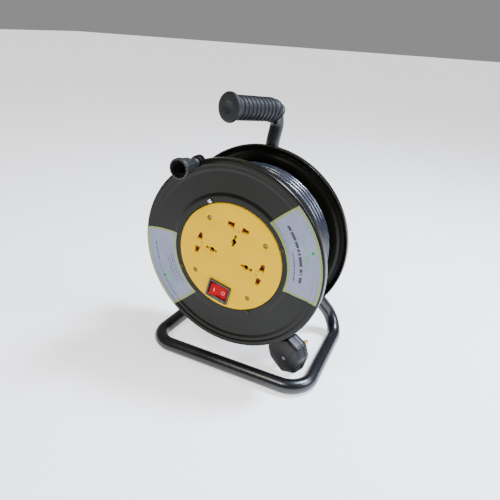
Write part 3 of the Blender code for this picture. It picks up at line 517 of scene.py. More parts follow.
# Glass-filled nylon: brown black, satin.
bezel_nylon = finish_of(
    "brown_black_glass_filled_nylon", "#1c140a", "#120c06", (0.34, 0.46), 6, 0.8, 0.03,
    shader={"IOR": 1.53},
)
# Urea moulding behind the shutters: dark brown.
carrier_urea = finish_of(
    "dark_brown_urea_moulding", "#4a2412", "#301509", (0.45, 0.6), 8, 0.8, 0.03
)
# Bright chromium plate: mirror-like, with fine polishing lines.
screw_chrome = finish_of(
    "bright_chromium_plate", "#dcdcde", "#c6c7ca", (0.12, 0.22), 5, 0.7, 0.008,
    shader={"Metallic": 1.0},
)
# The same plate darkened as painted shade, for the screws that lie in the flange's shade.
screw_shaded = finish_of(
    "shaded_chromium_plate", "#5c5a4c", "#34322a", (0.4, 0.55), 3, 0.7, 0.02,
    shader={"Metallic": 0.9},
)
# Yellow passivated zinc plate, in dark, dull tones.
screw_zinc = finish_of(
    "dull_passivated_zinc_plate", "#a39a5c", "#6f683a", (0.35, 0.5), 3, 0.5, 0.02,
    shader={"Metallic": 0.9},
)
# Bright zinc plate on turned steel.
turned_zinc = finish_of(
    "bright_zinc_plate", "#b9bcc2", "#8f9298", (0.25, 0.42), 5, 0.5, 0.015,
    stretch=(1, 6, 1), shader={"Metallic": 1.0},
)
# Drawn brass: pale gold, faintly streaked.
drawn_brass = finish_of(
    "drawn_brass", "#d9b566", "#b98f3e", (0.24, 0.4), 6, 0.6, 0.01,
    stretch=(1, 5, 1), shader={"Metallic": 1.0},
)
# Natural nylon: milky.
bush_nylon = finish_of(
    "natural_nylon_bush", "#d8d4c8", "#c4bfb0", (0.4, 0.5), 8, 0.8, 0.02
)
# PVC cord sheath: blue black, glossy, drawn through its die with a faint ripple.
cord_sheath = finish_of(
    "extruded_pvc_sheath", "#2a2e38", "#191c24", (0.2, 0.3), 35, 2.4, 0.05,
    shader={"IOR": 1.53, "Specular IOR Level": 0.7},
)
# Rubbery PVC plug: black, satin.
plug_pvc = finish_of(
    "black_moulded_plug_pvc", "#0d0d0e", "#070708", (0.36, 0.48), 10, 1.1, 0.04,
    shader={"IOR": 1.5, "Specular IOR Level": 0.4},
)


def label_film():
    """Silver polyester film under a gloss varnish. Its print comes from marks in
    the mesh: a border, dark print and a green mark, each from 0 to 1."""
    mat = bpy.data.materials.new("silver_polyester_label")
    mat.use_nodes = True
    tree = mat.node_tree
    tree.nodes.clear()
    spot = add(tree, "ShaderNodeTexCoord")
    foil = add(
        tree,
        "ShaderNodeTexNoise",
        {"Scale": 1 / (14 * MM), "Detail": 3.0},
        {"Vector": (spot, "Object")},
    )
    tone = add(
        tree,
        "ShaderNodeMix",
        {"data_type": "RGBA", 6: linear("#6c7188"), 7: linear("#868ba2")},
        {0: (foil, "Fac")},
    )
    inks = (("border", "#7c8c28"), ("print", "#1c1a30"), ("leaf", "#4f9a62"))
    for mark, ink in inks:
        amount = add(tree, "ShaderNodeAttribute", {"attribute_name": mark})
        tone = add(
            tree,
            "ShaderNodeMix",
            {"data_type": "RGBA", 7: linear(ink)},
            {0: (amount, "Fac"), 6: (tone, 2)},
        )
    wrinkle = add(
        tree,
        "ShaderNodeTexNoise",
        {"Scale": 1 / (9 * MM), "Detail": 2.0},
        {"Vector": (spot, "Object")},
    )
    bump = add(
        tree,
        "ShaderNodeBump",
        {"Strength": 1.0, "Distance": 0.06 * MM},
        {"Height": (wrinkle, "Fac")},
    )
    shader = add(
        tree,
        "ShaderNodeBsdfPrincipled",
        {"Roughness": 0.38, "IOR": 1.5, "Metallic": 0.1},
        {"Base Color": (tone, 2), "Normal": (bump, "Normal")},
    )
    add(tree, "ShaderNodeOutputMaterial", {}, {"Surface": (shader, "BSDF")})
    return mat


# Stand ---------------------------------------------------------------------


def handle_point(back, height):
    """A point of the handle's plane, which is turned about its upright."""
    turn = math.radians(HANDLE_TURN)
    return (back * math.sin(turn), TUBE_DEPTH + back * math.cos(turn), height)


def make_stand():
    """Two round tubes, each a circle carried along straight runs and arcs."""
    right = [np.array(corner, float) for corner in BASE_CORNERS]
    left = [corner * (-1, 1, 1) for corner in reversed(right)]
    base = bent_path(right + left, BASE_BENDS)
    tube = lofted(swept(base, BASE_TUBE_R, 40, (0.3, 0.5, 1.0)))
    piece("stand_tube", tube, tube_enamel, "stand", ["base_tube"])
    handle = bent_path([handle_point(*corner) for corner in HANDLE_CORNERS], HANDLE_BENDS)
    turn = math.radians(HANDLE_TURN)
    across = (math.cos(turn), -math.sin(turn), 0)
    tube = lofted(swept(handle, HANDLE_TUBE_R, 40, across))
    piece("carry_tube", tube, tube_enamel, "stand", ["handle_tube"])
    make_grip(handle[::-1], across)


def make_grip(path, across):
    """A sleeve about the tube whose radius falls into a round groove between
    ribs: the groove's depth times a cosine squared within each pitch."""
    straight = np.linalg.norm(path[1] - path[0])
    run = straight + HANDLE_BENDS[1] * math.radians(GRIP_ROUND_BEND)
    first = 5.0
    pitch = (run - first) / GRIP_RIBS
    spots = np.linspace(first, run - 1, GRIP_RIBS * 14)
    phase = (spots - first) / pitch % 1
    groove = np.clip(np.cos(math.pi * (phase - 0.4) / 0.62), 0, 1) ** 0.8
    groove[np.abs(phase - 0.4) > 0.31] = 0
    ribs = np.stack([spots, GRIP_R - GRIP_GROOVE * groove], -1)
    face = -GRIP_END_T - GAP
    disc = [
        (face + 0.5, 0), (face + 0.5, 6), (face + 0.1, 6.6), (face, 8), (face, 14),
        (face + 0.25, 15.6), (face + 0.9, 16.7), (face + 2, GRIP_END_R),
        (face + 3.6, GRIP_END_R), (face + 4.8, 16.7), (face + 5.6, 15.3),
        (first - 3, GRIP_R),
    ]
    bore = HANDLE_TUBE_R + GAP
    end = [(run - 0.3, GRIP_R - 0.5), (run, GRIP_R - 1.4), (run, bore)]
    inside = [(s, bore) for s in np.linspace(run - 1, -GAP, 30)] + [(-GAP, 0)]
    outline = np.vstack([disc, ribs, end, inside])
    reach = 1.0
    ahead = resampled(path, outline[:, 0] + reach)
    behind = resampled(path, outline[:, 0] - reach)
    along = (ahead - behind) / np.linalg.norm(ahead - behind, axis=1)[:, None]
    rings = swept(resampled(path, outline[:, 0]), outline[:, 1], 56, across, along)
    piece("carry_grip", lofted(rings), grip_pvc, "stand", ["grip"], 40)


# Drum ----------------------------------------------------------------------


def flange_outline(inner):
    """Inner points, the outer face, the rim and the inner face, with every corner
    of the section rounded."""
    skirt_r = FLANGE_R - FLANGE_T
    back = [(r, depth + FLANGE_T) for r, depth in reversed(FACE[:6])]
    rim = [(FLANGE_R, RIM_DEPTH), (skirt_r, RIM_DEPTH), (skirt_r, FLANGE_T + 2)]
    return rounded(list(inner[:-1]) + list(FACE) + rim + back + list(inner[-1:]), CORNER_R)


def make_flanges():
    seat_r = PANEL_R + 2 * GAP
    front = [
        (SWITCH_CORNER_R, SEAT_BACK), (SWITCH_CORNER_R, SEAT_DEPTH),
        (seat_r, SEAT_DEPTH), (seat_r, HUB_DEPTH), (BARREL_R, SEAT_BACK),
    ]
    boss_r = 7.5
    boss = turned(
        rounded([(3, 0), (boss_r, 0), (boss_r, RIM_DEPTH), (3, RIM_DEPTH)], 0.6),
        64,
        polar(KNOB_TURN, KNOB_R),
    )
    shape = joined(turned(flange_outline(front), FLANGE_SEGMENTS), boss)
    piece(
        "front_flange_moulding", shape, flange_plastic, "drum",
        ["front_flange"],
    )
    bore_r, boss_r = 11.4, 15.4
    boss_top, boss_low, web = 2.1, 36.1, 3.0
    rear = [
        (boss_r, web + FLANGE_T), (boss_r, boss_low), (bore_r, boss_low),
        (bore_r, boss_top), (boss_r, boss_top), (boss_r + 1, web),
        (PANEL_R, web), (PANEL_R + 1, HUB_DEPTH), (BARREL_R, web + FLANGE_T),
    ]
    outline = flange_outline(rear) * (1, -1) + (0, DRUM_WIDTH)
    piece(
        "rear_flange_moulding", turned(outline, FLANGE_SEGMENTS), flange_plastic, "drum",
        ["rear_flange"],
    )


def screw_shape(centre, head_r, shank_r, head_t, length, turn):
    """A pan head whose height falls as the fourth power of its radius, less a
    cross recess, on a plain shank."""
    share = np.linspace(0, 1, 22)[None, :]
    turns = np.linspace(0, math.tau, 72, endpoint=False)[:, None]
    radius = share * head_r
    x, z = radius * np.cos(turns), radius * np.sin(turns)
    arm, half = head_r * 0.62, head_r * 0.15
    near = np.minimum(np.abs(x), np.abs(z))
    far = np.maximum(np.abs(x), np.abs(z))
    soft = 0.12 * head_r
    inside = np.clip((half - near) / soft + 0.5, 0, 1)
    inside *= np.clip((arm - far) / soft + 0.5, 0, 1)
    depth = 0.55 * head_t * share**4 + 0.5 * head_t * inside
    head = np.stack([x, depth + 0 * x, z], -1)
    low = [(head_r, head_t), (shank_r, head_t), (shank_r, length - shank_r), (0, length)]
    rest = polar(np.degrees(turns), *(np.array(low).T[:, None, :]))
    rings = np.concatenate([head, rest], 1)
    turn = math.radians(turn)
    spin = np.array(
        [(math.cos(turn), 0, math.sin(turn)), (0, 1, 0), (-math.sin(turn), 0, math.cos(turn))]
    )
    rings = rings @ spin + np.asarray(centre)
    return rings.reshape(-1, 3), quads(*rings.shape[:2], closed_rows=True, closed_cols=False)


def make_screws():
    """Four on the flange's hub ring, one of them bright and the rest darkened with painted
    shade, and four sunk in the panel.
    """
    for k in range(4):
        depth = HUB_DEPTH - GAP - FLANGE_HEAD_T
        spot = polar(FLANGE_SCREW_TURN + 90 * k, FLANGE_SCREW_R, depth)
        piece(
            f"chrome_screw_{k + 1}",
            screw_shape(spot, SCREW_HEAD_R, SCREW_SHANK_R, FLANGE_HEAD_T, 14, 20 + 35 * k),
            # all but the second screw take the darker chrome, which is painted shade
            screw_chrome if k == 1 else screw_shaded, "drum",
            [f"flange_screw_{k + 1}"],
        )
        spot = polar(LAYOUT_TURN + 45 + 90 * k, PANEL_SCREW_R, PANEL_BACK - 2.9)
        piece(
            f"sunk_screw_{k + 1}",
            screw_shape(spot, SCREW_HEAD_R, SCREW_SHANK_R, PANEL_HEAD_T, 12, 50 * k),
            screw_zinc, "drum", [f"panel_screw_{k + 1}"],
        )


# Socket panel --------------------------------------------------------------


def slot_outline(side):
    """A wedge that widens towards the outlet's middle; side is -1 or 1."""
    near, far = PIN_HALF_SPAN - SLOT_LENGTH / 2, PIN_HALF_SPAN + SLOT_LENGTH / 2
    wedge = [
        (side * near, -SLOT_WIDE / 2), (side * far, -SLOT_NARROW / 2),
        (side * far, SLOT_NARROW / 2), (side * near, SLOT_WIDE / 2),
    ]
    return rounded(wedge, 0.45, 3)


def earth_outline():
    """A small round hole, a neck, a larger round hole and a short tail: at each
    level the widest of a circle of 2 mm, a circle of 3.3 mm and the neck."""
    level = np.linspace(-10.7, -EARTH_DROP - 6.8, 40)
    small = np.sqrt(np.clip(2.0**2 - (level + 12.5) ** 2, 0, None))
    large = np.sqrt(np.clip(3.3**2 - (level + EARTH_DROP) ** 2, 0, None))
    width = np.maximum(np.maximum(small, large), 0.8)
    width = np.where(level < -EARTH_DROP, np.maximum(width, 1.5), width)
    right = np.stack([width, level], -1)
    return np.vstack([right, right[::-1] * (-1, 1)])


def inside(points, outline):
    """Which points lie inside the outline, by counting crossings to the right."""
    x, z = points[:, :1], points[:, 1:]
    x0, z0 = outline.T
    x1, z1 = np.roll(outline, -1, 0).T
    spans = (z0 > z) != (z1 > z)
    rise = np.where(z1 == z0, 1, z1 - z0)
    crossed = spans & (x < (x1 - x0) * (z - z0) / rise + x0)
    return crossed.sum(1) % 2 == 1


def holed_face(outer, holes, depth):
    """A flat face between an outline and the holes in it, as triangles."""
    loops = [outer, *holes]
    spots = [Vector(spot) for spot in np.vstack(loops)]
    edges, first = [], 0
    for loop in loops:
        count = len(loop)
        edges += [(first + i, first + (i + 1) % count) for i in range(count)]
        first += count
    found, _, faces, *_ = geometry.delaunay_2d_cdt(spots, edges, [], 0, 1e-5)
    found = np.array(found)
    faces = np.array([face for face in faces if len(face) == 3])
    middles = found[faces].mean(1)
    keep = inside(middles, outer)
    for hole in holes:
        keep &= ~inside(middles, hole)
    return at_depth(found, depth), faces[keep].tolist()


def make_panel():
    """A round plate with a rolled rim. Each hole's edge is rounded by 0.35 mm: its
    outline grows by 1 - sin as its depth goes by 1 - cos of a quarter turn."""
    soft = 0.35
    quarter = np.radians([0, 30, 60, 90])
    lips = [(soft * (1 - math.sin(a)), soft * (1 - math.cos(a))) for a in quarter]
    holes = []
    for turn in OUTLETS.values():
        shapes = [slot_outline(-1), slot_outline(1), earth_outline()]
        holes += [outward(shape, turn, OUTLET_R) for shape in shapes]
    window = rectangle(SWITCH_BODY[0] + 2 * GAP, SWITCH_BODY[1] + 2 * GAP)
    holes.append(outward(rounded(window, 0.6), SWITCH_TURN, SWITCH_R))
    walls, mouths = [], []
    for hole in holes:
        rings = [at_depth(grown(hole, grow), PANEL_FRONT + d) for grow, d in lips]
        rings.append(at_depth(hole, PANEL_BACK))
        walls.append((np.vstack(rings), quads(len(rings), len(hole))))
        mouths.append(rings[0][:, ::2])
    feet = list(holes)
    for k in range(4):
        spot = polar(LAYOUT_TURN + 45 + 90 * k, PANEL_SCREW_R)[::2]
        levels = [(PANEL_HOLE_R + grow, PANEL_FRONT + d) for grow, d in lips]
        levels += [(PANEL_HOLE_R, PANEL_HOLE_FOOT), (1.8, PANEL_HOLE_FOOT), (1.8, PANEL_BACK)]
        rings = [at_depth(circle(r, 40, *spot), d) for r, d in levels]
        walls.append((np.vstack(rings), quads(len(rings), 40)))
        mouths.append(rings[0][:, ::2])
        feet.append(rings[-1][:, ::2])
    segments = FLANGE_SEGMENTS
    roll = 1.5
    rim = [(PANEL_R - roll * (1 - math.sin(a)), roll * (1 - math.cos(a))) for a in
           np.radians([0, 15, 30, 45, 60, 75, 90])]
    rings = [at_depth(circle(r, segments), PANEL_FRONT + d) for r, d in rim]
    rings.append(at_depth(circle(PANEL_R, segments), PANEL_BACK))
    front = holed_face(rings[0][:, ::2], mouths, PANEL_FRONT)
    back = holed_face(rings[-1][:, ::2], feet, PANEL_BACK)
    edge = (np.vstack(rings), quads(len(rings), segments))
    piece(
        "socket_panel_moulding", joined(front, back, edge, *walls), panel_abs, "drum",
        ["socket_panel"], 38,
    )
    make_pin_marks()


def bar(start, end, width, low, high):
    """A raised stroke: a thin box from start to end between two depths."""
    start, end = np.asarray(start, float), np.asarray(end, float)
    ahead = (end - start) / np.linalg.norm(end - start)
    side = np.array([ahead[1], -ahead[0]]) * width / 2
    outline = np.array([start - side, end - side, end + side, start + side])
    return lofted([at_depth(outline, low), at_depth(outline, high)])


def make_pin_marks():
    """Raised strokes between the slots of each outlet, an L and an N shape."""
    strokes = []
    letters = (
        ((-3.2, -2.4), (-3.2, 0.6)), ((-3.2, -2.4), (-1.4, -2.4)),
        ((1.4, -2.4), (1.4, 0.6)), ((3.2, -2.4), (3.2, 0.6)), ((1.4, 0.6), (3.2, -2.4)),
    )
    for turn in OUTLETS.values():
        for start, end in letters:
            spots = outward([start, end], turn, OUTLET_R - 3.5)
            strokes.append(bar(*spots, 0.55, PANEL_FRONT + 0.05, PANEL_FRONT - 0.22))
    piece("pin_marks", joined(*strokes), mark_abs, "drum")


# Switch and knob -----------------------------------------------------------


def make_switch():
    """A frame of rounded rectangles about the rocker's hollow."""
    centre = polar(SWITCH_TURN, SWITCH_R)[::2]

    def ring(size, radius, depth):
        outline = rounded(rectangle(*size), radius, 5)
        return at_depth(outward(outline, SWITCH_TURN, 0) + centre, depth)

    hollow = (ROCKER[0] + 2 * PLAY, ROCKER[1] + 2 * PLAY)
    wide = (hollow[0] + 2.6, hollow[1] + 2.6)
    top = PANEL_FRONT - GAP - BEZEL_T
    rings = [
        ring(BEZEL, 1.2, PANEL_FRONT - GAP), ring(BEZEL, 1.2, top + 0.9),
        ring((BEZEL[0] - 0.3, BEZEL[1] - 0.3), 1.15, top + 0.4),
        ring((BEZEL[0] - 1.2, BEZEL[1] - 1.2), 1.0, top),
        ring(wide, 0.9, top), ring((wide[0] - 0.5, wide[1] - 0.5), 0.8, top + 0.15),
        ring(hollow, 0.6, top + 1.6), ring(hollow, 0.6, SWITCH_DEPTH),
        ring(SWITCH_BODY, 0.6, SWITCH_DEPTH),
        ring(SWITCH_BODY, 0.6, PANEL_FRONT - GAP),
    ]
    piece(
        "switch_bezel", lofted(rings, closed=True), bezel_nylon, "drum",
        ["switch_housing"],
    )
    make_rocker(polar(SWITCH_TURN, SWITCH_R, PANEL_FRONT + 3))


def make_rocker(pivot):
    """Round ends about the pivot and a shallow V across the face, carried across
    the rocker with its edges drawn in by a quarter circle of 0.6 mm."""
    end_r = ROCKER[0] / 2
    turns = np.radians(ROCKER_RISE - 62 * np.linspace(0, 1, 13))
    right = np.stack([end_r * np.cos(turns), -end_r * np.sin(turns)], -1)
    left = right[::-1] * (-1, 1)
    floor = -end_r * math.sin(math.radians(ROCKER_RISE)) + ROCKER_VALLEY
    valley = [(0, floor)]
    outline = rounded(np.vstack([right, left, valley]), 0.7, 4)
    out = polar(SWITCH_TURN, 1.0)
    side = np.array([out[2], 0, -out[0]])
    inward = np.array([0.0, 1.0, 0.0])
    tilt = math.radians(-ROCKER_TILT)
    along = side * math.cos(tilt) + inward * math.sin(tilt)
    deep = inward * math.cos(tilt) - side * math.sin(tilt)

    def spot(u, depth, v):
        u, depth, v = (np.asarray(a, float)[..., None] for a in (u, depth, v))
        return pivot + along * u + deep * depth + out * v

    soft, half = 0.6, ROCKER[1] / 2
    arc = np.radians([0, 30, 60, 90])
    levels = [(-half + soft * (1 - math.cos(a)), soft * (1 - math.sin(a))) for a in arc]
    levels += [(-v, inset) for v, inset in reversed(levels)]
    rings = []
    for v, inset in levels:
        ring = grown(outline, -inset)
        rings.append(spot(ring[:, 0], ring[:, 1], np.full(len(ring), v)))
    piece(
        "rocker_key", lofted(rings), rocker_pc, "switch_rocker",
        ["switch_rocker"], 30,
    )
    rise = ROCKER_VALLEY / (end_r * math.cos(math.radians(ROCKER_RISE)))
    lift = 0.12

    def on_face(u, v, height):
        return spot(u, floor - rise * np.abs(u) - height, v)

    turn = np.linspace(0, math.tau, 36, endpoint=False)
    ring = [
        on_face(-6.2 + r * np.cos(turn), r * np.sin(turn), height)
        for r, height in ((2.5, -lift), (2.5, lift), (1.9, lift), (1.9, -lift))
    ]
    line = [
        on_face(np.array([5.6, 6.6, 6.6, 5.6]), np.array([-2.6, -2.6, 2.6, 2.6]), height)
        for height in (-lift, lift)
    ]
    marks = joined(lofted(ring, closed=True), lofted(line))
    piece("rocker_marks", marks, rocker_ink, "switch_rocker")


def make_knob():
    """A hollow turned knob, its mouth fluted inside, on a riveted spindle."""
    neck, end = KNOB_NECK_R, KNOB_END_R
    outside = [
        (neck, -PLAY), (neck + 0.5, -3.5), (neck, -6), (neck + 0.7, -9),
        (neck + 2.6, -16), (end - 0.8, -KNOB_LENGTH + 7), (end, -KNOB_LENGTH + 5),
        (end, -KNOB_LENGTH + 1), (end - 0.8, -KNOB_LENGTH), (end - 2, -KNOB_LENGTH),
    ]
    inner = [
        (end - 2.8, -KNOB_LENGTH + 6), (neck - 1.4, -15), (3.0, -15), (3.0, -PLAY),
    ]
    outline = rounded(outside + inner, 0.8, 4)
    segments = 120
    turns = np.linspace(0, 360, segments, endpoint=False)[:, None]
    radius, depth = outline.T[:, None, :]
    within = (depth < -16) & (radius < end - 1.6) & (radius > 5.2)
    flute = 0.45 * np.cos(np.radians(turns * 16)) * within
    rings = polar(turns, radius + flute, depth) + polar(KNOB_TURN, KNOB_R)
    piece(
        "crank_knob_shell", lofted(rings, closed=True), knob_abs, "crank_knob",
        ["crank_knob"], 40,
    )


# Labels --------------------------------------------------------------------


def band(value, low, high, soft=0.25):
    """1 where value is from low to high, falling to 0 over soft millimetres."""
    return np.clip((value - low) / soft, 0, 1) * np.clip((high - value) / soft, 0, 1)


def dashes(along, size, seed):
    """1 or 0 in cells of a size along a line, filled three times in four."""
    cells = np.random.default_rng(seed).random(400) < 0.74
    return cells[(np.floor(along / size).astype(int) + 200) % 400].astype(float)


def make_label(name, middle, halves, lines, mark, film):
    """A film over part of the flange's face: turn and radius are the two
    parameters. Its print is a border, rows of plain dashes and a round mark."""
    share = np.linspace(0, 1, 100)[:, None]
    way = np.linspace(-1, 1, 260)[None, :]
    height = LABEL_OUTER_R - LABEL_INNER_R
    radius = LABEL_INNER_R + share * height + 0 * way
    half = halves[0] + (halves[1] - halves[0]) * share
    turn = middle + way * half
    face_r, face_depth = np.array(FACE).T
    depth = np.interp(radius, face_r, face_depth) - GAP - LABEL_T / 2
    surface = polar(turn, radius, depth)
    arc = np.radians(way * half) * radius
    edge = np.minimum((1 - np.abs(way)) * np.radians(half) * radius,
                      np.minimum(share, 1 - share) * height)
    border = np.maximum(band(edge, 0.0, LABEL_BORDER), 0.6 * band(edge, 3.4, 4.0, 0.2))
    ink = np.zeros_like(radius)
    leaf = np.zeros_like(radius)
    for line_r, tall, left, right, size, green in lines:
        row = band(radius, line_r - tall / 2, line_r + tall / 2) * band(arc, left, right)
        row = row * dashes(arc, size, int(line_r * 10))
        if green:
            leaf = np.maximum(leaf, row)
        else:
            ink = np.maximum(ink, row)
    mark_r, mark_arc = mark
    away = np.hypot(radius - mark_r, arc - mark_arc)
    leaf = np.maximum(leaf, band(away, -1, 3.4))
    ink = np.maximum(ink, band(away, -1, 1.5))
    shape = (surface.reshape(-1, 3), quads(*surface.shape[:2], closed_cols=False))
    marks = {"border": border, "print": ink, "leaf": leaf * (1 - ink)}
    obj = piece(f"{name}_film", shape, film, "drum", [name], 60, marks)
    wall = obj.modifiers.new("thickness", "SOLIDIFY")
    wall.thickness = LABEL_T * MM
    wall.offset = 0.0


def make_labels():
    film = label_film()
    title = (
        (91.5, 3.6, -34, 38, 1.5, False), (99.5, 2.6, -18, 16, 1.1, True),
        (83.5, 1.6, -30, 6, 0.8, False),
    )
    make_label("label_right", 15.4, (33.5, 30.2), title, (108, 4), film)
    small = [(83 + 2.9 * k, 1.2, -14, 26 - 3 * (k % 3), 0.7, False) for k in range(4)]
    small += [(98.5, 2.4, 2, 26, 1.0, True), (106, 1.3, -34, -8, 0.7, False)]
    make_label("label_left", 200, (32.3, 28), small, (106, 14), film)


# Cord and plug -------------------------------------------------------------


def ease(share):
    """A smooth step from 0 to 1."""
    share = np.clip(share, 0, 1)
    return share * share * (3 - 2 * share)


def winding_path():
    """Four layers of turns. Each turn keeps its place along the drum for most of
    its way round and then moves over by a pitch. A layer lies in the hollows of
    the one below, and the last turn climbs over the top one to the tail."""
    per_turn = TURN_POINTS
    hole_turn = CORD_HOLE_TURN
    low = BARREL_R + GAP + CORD_R
    front, back = 8.9, 8.9 + 11 * CORD_PITCH
    half = CORD_PITCH / 2
    layers = (
        (10, front + CORD_PITCH, 1), (11, back - half, -1), (12, front, 1),
        (11, back - half, -1),
    )
    spots = []
    for level, (turns, start, way) in enumerate(layers):
        t = np.arange(turns * per_turn) / per_turn
        number = np.floor(t)
        moved = number + ease((t - number - 0.2) / 0.2)
        moved = np.minimum(moved, turns - 1)
        depth = start + way * CORD_PITCH * moved
        radius = low + level * LAYER_STEP - LAYER_STEP * (1 - ease(t / 0.16)) * (level > 0)
        spots.append(np.stack([hole_turn - 360 * t, radius, depth], -1))
        if level > 0:
            before = spots[level - 1][-1, 2]
            blend = ease(t / 0.16)
            spots[level][:, 2] = before + (depth - before) * blend
    spots[0][:, 1] -= 6 * (1 - ease(np.arange(len(spots[0])) / (0.07 * per_turn)))
    top_r, end_turn, end_depth = tail_top()
    t = np.linspace(0, 1, 36, endpoint=False)
    last = spots[-1][-1]
    climb = ease((t - 0.28) / 0.34)
    over = last[2] + (end_depth - last[2]) * ease((t - 0.34) / 0.5)
    sweep = [hole_turn + (end_turn - hole_turn) * t, last[1] + (top_r - last[1]) * climb]
    spots.append(np.stack([*sweep, over], -1))
    t = np.linspace(0, 1, 9)
    tuck = [end_turn - 26 * t, top_r - DIVE * ease(t), end_depth + 0 * t]
    spots.append(np.stack(tuck, -1))
    turn, radius, depth = np.vstack(spots).T
    steps = np.arange(len(turn))
    wander = np.random.default_rng(11).random(6) * math.tau
    still = ease((len(turn) - 30 - steps) / 60)
    slow = np.sin(steps / 17 + wander[0]) + np.sin(steps / 29 + wander[1])
    depth = depth + 0.16 * slow * still
    radius = radius + 0.12 * np.sin(steps / 23 + wander[2]) * still
    return polar(turn, radius, depth)


def tail_top():
    """Radius, turn and depth of the tail's first point."""
    x, depth, z = TAIL_ROUTE[0]
    return math.hypot(x, z), math.degrees(math.atan2(z, x)), depth


def tail_path():
    """From between the turns up on to the winding, along it, and down its route."""
    top_r, turn, depth = tail_top()
    t = np.linspace(1, 0, 12, endpoint=False)
    rise = polar(turn + 44 * t, top_r - DIVE * ease(t * 2 - 1), depth + 0 * t)
    return np.vstack([rise, smooth_route(TAIL_ROUTE, 5)])


def plug_axes():
    """The plug's axes, turned about the upright and then tilted."""
    turn = Matrix.Rotation(math.radians(PLUG_TURN), 3, "Z")
    tilt = Matrix.Rotation(math.radians(-PLUG_TILT), 3, "Y")
    return np.array(turn @ tilt)


def in_plug(points):
    """Points in the plug's own axes moved to where it hangs."""
    return np.asarray(points) @ plug_axes().T + np.asarray(PLUG_AT)


def plug_ring(inset, depth, soft=3.5):
    """The plug's outline at a depth: a narrow tip, full sides with finger
    hollows, and sloping shoulders to the cord's end."""
    half, tip, top, low = 26.0, 11.0, 13.5, -48.0
    right = [
        (tip, low), (half - 2.5, low + 16), (half, low + 21), (half, -14),
        (half - 2, -10), (top, 0),
    ]
    outline = right + [(-x, z) for x, z in reversed(right)]
    return at_depth(grown(rounded(outline, soft, 5), -inset), depth)


def make_plug():
    """A two-part shell: the cover domes by a rounded edge, and the base is flat
    with a rounded edge. The pins are blades with chamfered tips."""
    arc = np.radians([0, 18, 36, 54, 72, 90])
    dome = 4.2
    levels = [(0.25, -GAP / 2), (0, -GAP / 2 - 0.4), (0.3, -COVER_T * 0.55)]
    levels += [
        (0.5 + dome * (1 - math.cos(a)), -COVER_T + dome * (1 - math.sin(a))) for a in arc
    ]
    cover = lofted([in_plug(plug_ring(inset, depth)) for inset, depth in levels])
    well = lofted(
        [
            in_plug(at_depth(circle(r, 40, 0, PLUG_SCREW_DROP), depth))
            for r, depth in (
                (4.4, -COVER_T + 0.2), (4.4, -COVER_T - 0.4), (4.1, -COVER_T - 0.6),
                (3.6, -COVER_T - 0.5), (3.6, -COVER_T + 0.2),
            )
        ],
        closed=True,
    )
    shell = piece(
        "plug_cover_shell", joined(cover, well), plug_pvc, "stand",
        ["plug_cover"],
    )
    levels = [(0.25, GAP / 2), (0, GAP / 2 + 0.4), (0, PLUG_BASE_T - 1.2),
              (0.35, PLUG_BASE_T - 0.35), (1.2, PLUG_BASE_T)]
    base = piece(
        "plug_base_shell",
        lofted([in_plug(plug_ring(inset, depth)) for inset, depth in levels]),
        plug_pvc, "stand", ["plug_base"],
    )
    screw = screw_shape((0, -COVER_T - 0.35, PLUG_SCREW_DROP), 3.0, 1.6, 1.6, 14, 15)
    head = piece(
        "plug_cover_screw", (in_plug(screw[0]), screw[1]), turned_zinc, "stand",
        ["plug_screw"],
    )
    parts = [shell, base, head]
    for name, (x, z, wide, high, length) in PINS.items():
        tip = PLUG_BASE_T + length
        levels = [(0, 2.5), (0, tip - 2.4), (0.35, tip - 1.2), (1.0, tip - 0.4), (1.7, tip)]
        rings = []
        for inset, depth in levels:
            blade = rectangle(wide - 2 * inset, high - 2 * inset, x, z)
            rings.append(in_plug(at_depth(rounded(blade, 0.5, 3), depth)))
        parts.append(
            piece(
                f"plug_{name}_blade", lofted(rings), drawn_brass, "stand",
                [f"plug_{name}_pin"],
            )
        )
    return parts


def make_cord(on_cord):
    """One length of cord as the winding, which turns with the drum, and the tail,
    which hangs in place: a circle carried along each path."""
    winding, tail = winding_path(), tail_path()
    coil = piece(
        "wound_mains_cord", lofted(swept(winding, CORD_R, 14, (0, 1, 0))), cord_sheath,
        "drum", ["wound_cord"], 50,
    )
    place(polar(CORD_HOLE_TURN, BARREL_R, CORD_HOLE_DEPTH)).tolist()
    end = piece(
        "cord_tail_to_plug", lofted(swept(tail, CORD_R, 16, (0, 1, 0))), cord_sheath,
        "stand", ["cord_tail"], 50,
    )


# Studio --------------------------------------------------------------------


def area_light(name, at, size, power, tint):
    """A soft square lamp at a point in reel millimetres, aimed at the drum."""
    data = bpy.data.lights.new(name, "AREA")
    data.shape = "SQUARE"
    data.size = size
    data.energy = power
    data.color = linear(tint)[:3]
    lamp = bpy.data.objects.new(name, data)
    bpy.context.scene.collection.objects.link(lamp)
    lamp.location = place(at)
    aim = Vector(place((0, 45, 0))) - lamp.location
    lamp.rotation_mode = "QUATERNION"
    lamp.rotation_quaternion = aim.to_track_quat("-Z", "Y")


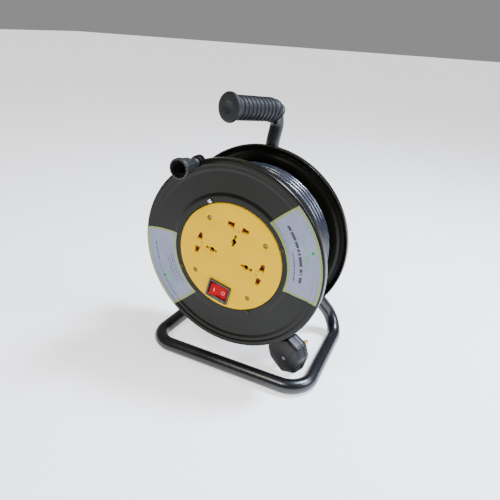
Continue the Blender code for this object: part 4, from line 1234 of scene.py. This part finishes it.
def make_studio():
    """A wide pale floor, a white surround, and soft lamps in front, at the right
    and behind."""
    half = FLOOR_HALF
    corners = [(-half, -half, 0), (half, -half, 0), (half, half, 0), (-half, half, 0)]
    mesh = bpy.data.meshes.new("studio_floor")
    mesh.from_pydata(corners, [], [(0, 1, 2, 3)])
    floor = bpy.data.objects.new("studio_floor", mesh)
    bpy.context.scene.collection.objects.link(floor)
    glow = {"Emission Color": (1, 1, 1, 1), "Emission Strength": FLOOR_GLOW}
    mesh.materials.append(
        finish_of(
            "matt_white_floor", "#fcfcfc", "#f9f9f9", (0.85, 0.95), 900, 40, 0.01,
            shader=glow,
        )
    )
    world = bpy.data.worlds.new("white_surround")
    world.use_nodes = True
    world.node_tree.nodes["Background"].inputs["Color"].default_value = (1, 1, 1, 1)
    world.node_tree.nodes["Background"].inputs["Strength"].default_value = SURROUND
    bpy.context.scene.world = world
    area_light("key_above_front", (-240, -900, 1350), 0.4, 15, "#fffaf2")
    area_light("soft_right", (1100, 200, 700), 0.4, 14, "#dce8ff")
    area_light("soft_back", (560, 420, 1100), 0.25, 40, "#dce8ff")


def make_camera():
    """Behind azimuth and elevation from the front, rolled, with no blur."""
    azimuth, elevation, roll = np.radians(
        (CAMERA_AZIMUTH, CAMERA_ELEVATION, CAMERA_ROLL)
    )
    back = np.array(
        [
            math.sin(azimuth) * math.cos(elevation),
            -math.cos(azimuth) * math.cos(elevation),
            math.sin(elevation),
        ]
    )
    level = np.array([math.cos(azimuth), math.sin(azimuth), 0])
    over = np.cross(back, level)
    right = level * math.cos(roll) + over * math.sin(roll)
    up = over * math.cos(roll) - level * math.sin(roll)
    data = bpy.data.cameras.new("camera")
    data.lens = CAMERA_LENS
    data.sensor_width = 36
    camera = bpy.data.objects.new("camera", data)
    bpy.context.scene.collection.objects.link(camera)
    turn = np.eye(4)
    turn[:3, :3] = np.stack([right, up, back], -1)
    turn[:3, 3] = place(CAMERA_AT)
    camera.matrix_world = Matrix(turn.tolist())
    bpy.context.scene.camera = camera


def paint_frame():
    """The CAD nodes that stay in view get the finish of what they are made of."""
    kept = {
        "hub_plate": tube_enamel, "axle": turned_zinc, "axle_washer": turned_zinc,
        "axle_nut": turned_zinc, "bearing_bush": bush_nylon,
        "drum_barrel": flange_plastic, "cord_bush": flange_plastic,
        "contact_carrier": carrier_urea, "live_strip": drawn_brass,
        "neutral_strip": drawn_brass, "earth_strip": drawn_brass,
        "knob_spindle": turned_zinc, "shutter_a": shutter_nylon,
        "shutter_b": shutter_nylon, "shutter_c": shutter_nylon,
    }
    for name, finish in kept.items():
        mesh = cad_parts[name].data
        mesh.materials.clear()
        mesh.materials.append(finish)


make_camera()
make_cord(make_plug())
make_stand()
make_flanges()
make_screws()
make_panel()
make_switch()
make_knob()
make_labels()
paint_frame()
make_studio()
